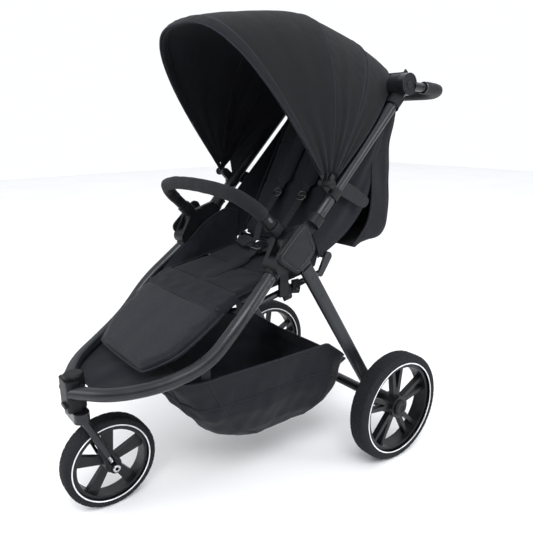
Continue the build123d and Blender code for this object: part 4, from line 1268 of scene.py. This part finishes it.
def padded_sleeve(piece, path, ups, width, thick, look, cord, thread, seed, ends=0.06):
    """A soft padded cover round a strap: rounded ends, bound edge, stitched border."""
    share = np.linspace(0, 1, len(path))
    along = along_of(path)
    across = np.cross(along, ups)
    round_end = np.sqrt(np.clip(1 - np.clip(1 - share / ends, 0, 1) ** 2, 0.10, 1))
    round_end *= np.sqrt(np.clip(1 - np.clip(1 - (1 - share) / ends, 0, 1) ** 2, 0.10, 1))
    base = slab(width, thick, 36, 3.0)
    fat = 1 + 0.06 * waves(path, 0.05, seed)
    high = fat * (0.35 + 0.65 * round_end)
    section = np.stack([base[None, :, 0] * round_end[:, None], base[None, :, 1] * high[:, None]], -1)
    piece.sweep(path, section, ups, look)
    border = []
    for sign in (1, -1):
        line = path + across * (sign * width / 2 * round_end)[:, None]
        border.append(line if sign > 0 else line[::-1])
        sideways = across * (sign * (width / 2 - 0.006) * round_end)[:, None]
        inner = path + sideways + ups * (thick * 0.44 * fat)[:, None]
        piece.stitches(inner[2:-2], thread)
    piece.cord(np.vstack([*border, border[0][:1]]), 0.0015, cord)


def slider(piece, centre, along, up, width, look):
    """A moulded strap adjuster: a rounded frame with a middle bar."""
    along, up = unit(along), unit(up)
    across = np.cross(along, up)
    half, long = width / 2 + 0.004, 0.013
    corners = [(half, long), (-half, long), (-half, -long), (half, -long)]
    ring = smooth_line([centre + across * x + along * y for x, y in corners], 0.002, True, 2)
    piece.sweep(closed_loop(ring), slab(0.0045, 0.0034, 12, 3), up, look)
    bar = np.array([centre + across * x for x in np.linspace(-half, half, 8)])
    piece.sweep(bar, slab(0.0040, 0.0034, 12, 3), up, look)


def covered_strap(piece, points, width, thick, up, lift, cover, seed, first, last, ends=0.06):
    """A strap with a padded cover, width by thickness, from first to last along it.
    A negative last counts back from the strap's end."""
    path, _, ups = strap(piece, points, width, thick, up, 0, 2)
    at = distances(path)
    pad = (at > first) & (at < (last if last > 0 else at[-1] + last))
    padded_sleeve(piece, path[pad] + ups[pad] * lift, ups[pad], *cover, 1, 3, 2, seed, ends)
    return path, ups, at


BACK_FACE = 0.0195
shoulder = Piece()
for sign in (1, -1):
    points = [
        in_pad(CREASE, BACK_RUN, BACK_UP, 0.352, 0.012, sign * 0.052),
        in_pad(CREASE, BACK_RUN, BACK_UP, 0.345, BACK_FACE + 0.004, sign * 0.052),
        in_pad(CREASE, BACK_RUN, BACK_UP, 0.320, BACK_FACE + 0.008, sign * 0.0525),
        in_pad(CREASE, BACK_RUN, BACK_UP, 0.240, BACK_FACE + 0.009, sign * 0.054),
        in_pad(CREASE, BACK_RUN, BACK_UP, 0.150, BACK_FACE + 0.014, sign * 0.053),
        (sign * 0.050, 0.086, 0.637),
        (sign * 0.040, 0.066, 0.606),
        (sign * 0.027, 0.052, 0.590),
    ]
    path, ups, at = covered_strap(shoulder, points, 0.026, 0.0016, (0, *BACK_UP), 0.0012,
                                  (0.050, 0.0125), 131, 0.022, 0.192)
    k = int(np.argmin(np.abs(at - 0.222)))
    slider(shoulder, path[k] + ups[k] * 0.0018, path[k + 2] - path[k - 2], ups[k], 0.026, 4)
    ring_at = in_pad(CREASE, BACK_RUN, BACK_UP, 0.356, BACK_FACE, sign * 0.052)
    slider(shoulder, ring_at, np.array([0, *BACK_RUN]), np.array([0, *BACK_UP]), 0.030, 4)
shoulder.build("shoulder_harness", [WEBBING, NAVY, THREAD, PIPING, GLOSSY], body="backrest", slot="webbing",
               replaces=["shoulder_straps"])


def seat_top(y):
    return 0.514 + 0.046 * (y + 0.156) / 0.252


def on_seat(x, y, lift):
    return (x, y, seat_top(y) + lift)


lap = Piece()
for sign in (1, -1):
    points = [
        on_seat(sign * 0.158, 0.098, 0.012),
        on_seat(sign * 0.150, 0.088, 0.016),
        on_seat(sign * 0.118, 0.074, 0.020),
        on_seat(sign * 0.080, 0.062, 0.022),
        on_seat(sign * 0.045, 0.050, 0.026),
        (sign * 0.021, 0.045, 0.5775),
    ]
    covered_strap(lap, points, 0.026, 0.0016, (0, -0.35, 1), 0.001, (0.038, 0.0095), 141,
                  0.014, -0.028, 0.12)
points = [
    on_seat(0.0, -0.140, 0.001),
    on_seat(0.001, -0.132, 0.004),
    on_seat(0.003, -0.080, 0.006),
    on_seat(0.001, -0.020, 0.008),
    on_seat(0.0, 0.012, 0.018),
    (0.0, 0.026, 0.5705),
]
covered_strap(lap, points, 0.028, 0.0018, (0, -0.25, 1), 0.0012, (0.052, 0.0085), 142,
              0.010, -0.030, 0.16)
lap.build("lap_and_crotch_harness", [WEBBING, NAVY, THREAD, PIPING], body="chassis", slot="webbing",
          replaces=["lap_harness"])


# ---------------------------------------------------------------- leather pads and tabs
def hull_outline(circles, inset, count=120):
    """Points round the convex hull of circles, (y, z, r), pulled in by inset."""
    pts = []
    for y, z, r in circles:
        a = np.linspace(0, 2 * math.pi, 90, endpoint=False)
        pts.append(np.stack([y + (r - inset) * np.cos(a), z + (r - inset) * np.sin(a)], 1))
    pts = np.vstack(pts)
    middle = pts.mean(0)
    directions = np.linspace(0, 2 * math.pi, 720, endpoint=False)
    d = np.stack([np.cos(directions), np.sin(directions)], 1)
    reach = ((pts - middle) @ d.T).max(0)
    a = np.linspace(0, 2 * math.pi, count, endpoint=False)
    ray = np.stack([np.cos(a), np.sin(a)], 1)
    cosine = ray @ d.T
    size = np.where(cosine > 0.05, reach[None] / np.maximum(cosine, 1e-6), 1e9).min(1)
    return middle + ray * size[:, None]


def at_side(x, flat, sign):
    """A (y, z) grid set at its columns' x, on one side of the stroller."""
    columns = np.broadcast_to(x[None, :, None], (*flat.shape[:2], 1))
    return np.concatenate([columns, flat], 2) * [sign, 1, 1]


def outline_at(x, outline):
    return np.column_stack([np.full(len(outline), x), outline])


COVER = [(-13, 668, 16), (-68, 613, 19), (-32, 588, 20), (-2, 622, 25)]
outline = hull_outline(COVER, 9.4) * MM
middle = outline.mean(0)
inlay = Piece()
for sign in (1, -1):
    share = np.concatenate([np.linspace(0, 0.9, 12), [0.94, 0.97, 0.99, 1.0]])
    dome = 0.2501 + 0.0021 * (1 - share ** 7) + 0.0004 * (1 - share ** 2)
    rings = middle + (outline[:, None] - middle) * share[None, :, None]
    points = at_side(dome, rings, sign)
    inlay.add(points, grid_faces(len(outline), len(share), True, sign > 0))
    sewn = middle + (outline - middle) * 0.86
    inlay.stitches(outline_at(sign * 0.2528, sewn), 1, 0.0032, 0.0014, 0.0004, True)
    lip = middle + (outline - middle) * 1.012
    inlay.cord(closed_loop(outline_at(sign * 0.2506, lip)), 0.0007, 2)
inlay.build("hinge_inlays", [PAD_LEATHER, THREAD, GLOSSY], body="chassis", slot="side_pad",
            replaces=["hinge_pads"])

EYELET = [(0.0030, -0.0004), (0.0034, 0.0009), (0.0048, 0.0013), (0.0062, 0.0008), (0.0066, -0.0003)]
tab = Piece()
for sign in (1, -1):
    line = smooth_line([
        (0.116, 0.738), (0.142, 0.764), (0.166, 0.758), (0.214, 0.728), (0.234, 0.714),
        (0.232, 0.700), (0.214, 0.690), (0.184, 0.704), (0.150, 0.722),
    ], 0.003, True)
    mid = line.mean(0)
    share = np.linspace(0, 1, 9)
    flat = mid + (line[:, None] - mid) * share[None, :, None]
    for side_x, flip in ((0.2165, False), (0.2135, True)):
        crown = side_x + (0.0004 if side_x > 0.215 else -0.0004) * (1 - share ** 6)
        points = at_side(crown, flat, sign)
        tab.add(points, grid_faces(len(line), len(share), True, flip if sign < 0 else not flip))
    band = np.stack([outline_at(sign * x, line) for x in (0.2135, 0.2165)], 1)
    tab.add(band, grid_faces(len(line), 2, True, sign > 0))
    sewn = mid + (line - mid) * 0.86
    tab.stitches(outline_at(sign * 0.2169, sewn), 1, 0.0032, 0.0016, 0.0004, True)
    for x, way in ((0.2166, 1), (0.2134, -1)):
        tab.turned(EYELET, (sign * x, 0.216, 0.709), (sign * way, 0, 0), 2)
    # a disc in the darker lining look fills each eyelet hole: painted shade in the hole
    tab.turned([(0.0005, -0.0002), (0.0028, -0.0003)], (sign * 0.2168, 0.216, 0.709), (sign, 0, 0), 3)
tab.build("side_tab_leather", [PAD_LEATHER, THREAD, RIVET, LINING_PAINTED_SHADE], body="push_frame", slot="side_pad",
          replaces=["side_tabs"])


# ---------------------------------------------------------------- tyres and wheel trim
def tyre_grid(radius, width, seat, around, across, blocks):
    """Tread and sidewalls of a foam tyre, with a zigzag groove on each shoulder and cross cuts."""
    half, depth = width / 2, radius - seat
    corner = 0.42 * depth
    line = [(half, seat), (half, radius - corner)]
    for a in np.linspace(0, math.pi / 2, 9)[1:]:
        line.append((half - corner + corner * math.cos(a), radius - corner + corner * math.sin(a)))
    line += [(x, radius) for x in (half * 0.3, 0.0)]
    line = np.array(line + [(-x, r) for x, r in line[-2::-1]])
    crown = np.where(line[:, 1] > radius - 1e-6, -0.0009 * (line[:, 0] / half) ** 2, 0)
    line[:, 1] += crown
    line = even(line, 0.0011)
    line = resample(line, np.linspace(0, 1, across))
    normal = unit(np.stack([np.gradient(line[:, 1]), -np.gradient(line[:, 0])], 1))
    normal *= np.sign((normal * (line - [0, seat])).sum(1, keepdims=True))
    length = distances(line)
    s = length - length[-1] / 2
    turn = np.linspace(0, 2 * math.pi, around, endpoint=False)
    phase = turn * blocks / (2 * math.pi)
    tri = np.abs((phase[:, None] % 1) * 2 - 1) * 2 - 1
    shoulder = half * 0.60
    cut = np.zeros((around, across))
    zigzag = shoulder + 0.0034 * tri
    cut = np.maximum(cut, np.exp(-((np.abs(s)[None] - zigzag) / 0.0012) ** 4))
    middle = np.exp(-((s[None] - 0.0022 * tri) / 0.0010) ** 4)
    cut = np.maximum(cut, 0.75 * middle)
    near = (np.abs(s) < shoulder)[None]
    slot = np.exp(-((((phase[:, None] + 0.06 * s[None] / half + 0.25) % 0.5) - 0.25) / 0.045) ** 4)
    cut = np.maximum(cut, 0.8 * slot * near)
    lug = np.exp(-((((phase[:, None] + 0.5) % 1) - 0.5) / 0.06) ** 4)
    cut = np.maximum(cut, 0.8 * lug * ((np.abs(s) > shoulder + 0.004) & (np.abs(s) < half + 0.0035))[None])
    ridge = 0.0005 * np.exp(-((np.abs(s) - half - 0.0075) / 0.0012) ** 2)[None]
    lift = ridge - 0.0016 * cut
    x = line[None, :, 0] + normal[None, :, 0] * lift
    r = line[None, :, 1] + normal[None, :, 1] * lift
    return turn, x, r


def tyre(name, node, body, centre, x0, radius, width, seat, around, blocks):
    turn, x, r = tyre_grid(radius, width, seat, around, 84, blocks)
    c, s = np.cos(turn)[:, None], np.sin(turn)[:, None]
    grid = np.stack([x0 + x, centre[0] + r * c, centre[1] + r * s], -1)
    piece = Piece()
    piece.add(grid, grid_faces(around, grid.shape[1], True, True))
    piece.build(name, [TYRE], body=body, slot="tyre", replaces=[node])


def white_ring(piece, centre, x, way, inner, outer):
    """A thin reflecting ring set into the tyre's side."""
    profile = [
        (inner, -0.0012),
        (inner + 0.0004, 0.0004),
        ((inner + outer) / 2, 0.0008),
        (outer - 0.0004, 0.0004),
        (outer, -0.0012),
    ]
    piece.turned(profile, (x, *centre), (way, 0, 0), 0, 160)


REAR_WHEEL_X = 0.292
HUB_FACE_X = 0.3173
SPOKE_FACE_X = 0.3002
HUB_BUTTONS_R = 0.047
HUB_CAP = [
    (0.0004, 0.0004), (0.006, 0.0005), (0.0075, 0.0002), (0.009, 0.0018),
    (0.0150, 0.0022), (0.0205, 0.0014), (0.0219, -0.0006),
]
HUB_BUTTON = [(0.0004, -0.0004), (0.0036, -0.0002), (0.0046, 0.0007), (0.0058, 0.0004), (0.0062, -0.0006)]
for sign, name in ((1, "left"), (-1, "right")):
    body = f"rear_wheel_{name}"
    tyre(f"rear_tyre_{name}_tread", f"rear_tyre_{name}", body, REAR_AXLE, sign * REAR_WHEEL_X,
         radius=0.150, width=0.052, seat=0.123, around=672, blocks=42)
    trim = Piece()
    for way in (1, -1):
        white_ring(trim, REAR_AXLE, sign * REAR_WHEEL_X + way * 0.0258, way, 0.1245, 0.1285)
    trim.build(f"rear_ring_{name}", [WHITE], body=body, slot="rim")
    cap = Piece()
    cap.turned(HUB_CAP, (sign * HUB_FACE_X, *REAR_AXLE), (sign, 0, 0), 0, 56)
    for k in range(5):
        a = math.radians(90 + 72 * k)
        hub = (sign * SPOKE_FACE_X, REAR_AXLE[0] + HUB_BUTTONS_R * math.cos(a),
               REAR_AXLE[1] + HUB_BUTTONS_R * math.sin(a))
        cap.turned(HUB_BUTTON, hub, (sign, 0, 0), 1, 24)
    cap.build(f"rear_hub_cap_{name}", [MOULDED, RIM], body=body, slot="rim")

tyre("front_tyre_tread", "front_tyre", "front_wheel", FRONT_AXLE, 0.0,
     radius=0.115, width=0.046, seat=0.093, around=560, blocks=34)
trim = Piece()
for way in (1, -1):
    white_ring(trim, FRONT_AXLE, way * 0.0229, way, 0.0952, 0.0992)
trim.build("front_ring", [WHITE], body="front_wheel", slot="rim")


# ---------------------------------------------------------------- rivets, bolts and rings
def rivet(piece, at, way, radius=0.0032, look=0):
    profile = [
        (0.0002, radius * 0.45),
        (radius * 0.5, radius * 0.42),
        (radius * 0.85, radius * 0.22),
        (radius, 0.0),
        (radius, -0.0008),
    ]
    piece.turned(profile, at, way, look, 20)


def hex_bolt(piece, at, way, radius, look, dark):
    """A bolt head with a chamfer and a hexagon socket; the socket is drawn in the dark look, painted shade
    in the recess.
    """
    profile = [(radius * 0.52, 0.0009), (radius * 0.80, 0.0010), (radius * 0.96, 0.0004), (radius, -0.0004)]
    piece.turned(profile, at, way, look, 36)
    # socket in the dark look (black moulded plastic at every call): painted shade inside the recess
    piece.turned([(0.0002, -0.0002), (radius * 0.52, -0.0002), (radius * 0.52, 0.0009)], at, way, dark, 6)


PUSH_X = 0.215
push_way = unit(np.array(PUSH_HIGH) - np.array(PUSH_LOW))
bits = Piece()
for sign in (1, -1):
    for along_mm in (0.038, 0.366):
        y, z = np.array(PUSH_LOW) + push_way * along_mm
        rivet(bits, (sign * 0.2300, y, z), (sign, 0, 0))
        rivet(bits, (sign * 0.2000, y, z), (-sign, 0, 0))
    for at, r in ((0.0262, 0.0187), (0.381, 0.0187)):
        y, z = np.array(PUSH_LOW) + push_way * at
        a = np.linspace(0, 2 * math.pi, 48)
        up = np.array([0, -push_way[1], push_way[0]])
        circling = np.cos(a)[:, None] * [1, 0, 0] + np.sin(a)[:, None] * up
        bits.cord(np.array([sign * PUSH_X, y, z]) + r * circling, 0.0010, 1)
    bits.turned([(0.0002, 0.0006), (0.0035, 0.0005), (0.0045, 0.0016), (0.0092, 0.0014), (0.0108, -0.0004)],
                (sign * 0.2441, *CANOPY), (sign, 0, 0), 1, 36)
bits.build("push_frame_rivets", [RIVET, MOULDED], body="push_frame", slot="steel")

bits = Piece()
for sign in (1, -1):
    ring_a = np.linspace(0, 2 * math.pi, 72)
    for r, x in ((0.0232, 0.2504), (0.0130, 0.2503)):
        circling = np.column_stack([HANDLE[0] + r * np.cos(ring_a), HANDLE[1] + r * np.sin(ring_a)])
        bits.cord(outline_at(sign * x, circling), 0.0007, 0)
    hex_bolt(bits, (sign * 0.2515, *HANDLE), (sign, 0, 0), 0.0042, 1, 0)
    rivet(bits, (sign * 0.2522, 0.3830, 0.9880), (sign, 0, 0), 0.0040, 0)
bits.build("handle_disc_trim", [MOULDED, RIVET], body="handlebar", slot="moulding")

leg_way = unit(np.array(REAR_AXLE) - np.array(HINGE))
bits = Piece()
for sign in (1, -1):
    for at in (0.106, 0.165):
        y, z = np.array(HINGE) + leg_way * at
        rivet(bits, (sign * 0.2320, y, z), (sign, 0, 0))
        rivet(bits, (sign * 0.2120, y, z), (-sign, 0, 0))
    y, z = np.array(HINGE) + leg_way * 0.520
    hex_bolt(bits, (sign * 0.2352, y, z), (sign, 0, 0), 0.0045, 0, 1)
bits.build("rear_leg_rivets", [RIVET, MOULDED], body="rear_frame", slot="steel")

bits = Piece()
for sign in (1, -1):
    hex_bolt(bits, (sign * 0.0502, *FRONT_AXLE), (sign, 0, 0), 0.0082, 0, 1)
bits.build("front_axle_bolts", [BOLT, MOULDED], body="front_axle", slot="steel")


# ---------------------------------------------------------------- webbing tabs under the seat
loops = Piece()
for sign in (1, -1):
    for y, drop, lean in ((-0.020, 0.040, 0.004), (0.014, 0.034, -0.002)):
        z = seat_top(y) - 0.012
        points = [
            (sign * 0.190, y, z),
            (sign * 0.194, y + lean, z - drop * 0.5),
            (sign * 0.192, y + lean * 2, z - drop),
            (sign * 0.187, y + lean * 2, z - drop * 0.96),
            (sign * 0.186, y, z - drop * 0.4),
            (sign * 0.184, y, z),
        ]
        strap(loops, points, 0.024, 0.0016, (sign, 0, 0.05), 0, 1)
        rivet(loops, (sign * 0.1955, y + lean, z - drop * 0.62), (sign, 0, 0), 0.0048, 2)
    points = [(sign * 0.186, -0.250, 0.339), (sign * 0.192, -0.252, 0.356), (sign * 0.200, -0.256, 0.380),
              (sign * 0.205, -0.262, 0.392)]
    strap(loops, points, 0.022, 0.0015, (sign, -0.3, 0.3), 0, 1)
loops.build("seat_and_basket_tabs", [WEBBING, THREAD, RIVET], body="chassis", slot="webbing")


# ---------------------------------------------------------------- studio and camera
floor = bpy.data.meshes.new("studio_floor")
floor.from_pydata([(-9, -9, 0), (9, -9, 0), (9, 9, 0), (-9, 9, 0)], [], [(0, 1, 2, 3)])
ground = bpy.data.objects.new("studio_floor", floor)
bpy.context.scene.collection.objects.link(ground)
n = Nodes("studio_paper")
shade(n, 0.9, 0, 0.1)
tone = n.spread(n.noise(1.5, 2), 0, 1)
n.link(n.mix(tone, (0.90, 0.90, 0.905), (0.93, 0.93, 0.93)), n.bsdf.inputs["Base Color"])
floor.materials.append(n.mat)

world = bpy.data.worlds.new("studio")
bpy.context.scene.world = world
world.use_nodes = True
sky = world.node_tree.nodes["Background"]
sky.inputs["Color"].default_value = (0.95, 0.97, 1.0, 1)
seen = world.node_tree.nodes.new("ShaderNodeLightPath").outputs["Is Camera Ray"]
level = world.node_tree.nodes.new("ShaderNodeMapRange")
level.inputs["To Min"].default_value = 0.30
level.inputs["To Max"].default_value = 1.05
world.node_tree.links.new(seen, level.inputs["Value"])
world.node_tree.links.new(level.outputs[0], sky.inputs["Strength"])


def area_light(name, place, aim_at, size, power, colour=(1, 1, 1)):
    light = bpy.data.lights.new(name, "AREA")
    light.shape = "RECTANGLE"
    light.size, light.size_y = size
    light.energy = power
    light.color = colour
    obj = bpy.data.objects.new(name, light)
    obj.location = place
    obj.rotation_euler = (Vector(aim_at) - Vector(place)).to_track_quat("-Z", "Y").to_euler()
    bpy.context.scene.collection.objects.link(obj)


area_light("key", (1.6, -1.2, 2.6), (0, 0, 0.6), (1.6, 1.2), 50, (0.97, 0.98, 1.0))
area_light("top", (0, 0, 6.0), (0, 0, 0), (30, 30), 2700, (0.97, 0.98, 1.0))
area_light("side", (2.6, 1.6, 1.3), (0, 0.1, 0.5), (1.0, 1.8), 30, (0.98, 0.98, 1.0))
area_light("front", (-1.2, -2.6, 1.3), (0, 0, 0.5), (1.6, 1.6), 24)

place = Vector((1.1899, -0.8341, 0.9077))
forward = Vector((-0.77154, 0.58419, -0.25190)).normalized()
right = forward.cross(Vector((0, 0, 1))).normalized()
upward = right.cross(forward)
roll = math.radians(-0.595)
r2 = right * math.cos(roll) + upward * math.sin(roll)
u2 = upward * math.cos(roll) - right * math.sin(roll)
camera = bpy.data.cameras.new("photo_view")
camera.sensor_width = 36
camera.lens = 36 * 557.5 / 533
camera.clip_start = 0.05
camera_object = bpy.data.objects.new("photo_view", camera)
camera_object.matrix_world = Matrix.Translation(place) @ Matrix((r2, u2, -forward)).transposed().to_4x4()
bpy.context.scene.collection.objects.link(camera_object)
bpy.context.scene.camera = camera_object
bpy.context.scene.view_settings.view_transform = "Standard"

bpy.context.view_layer.update()
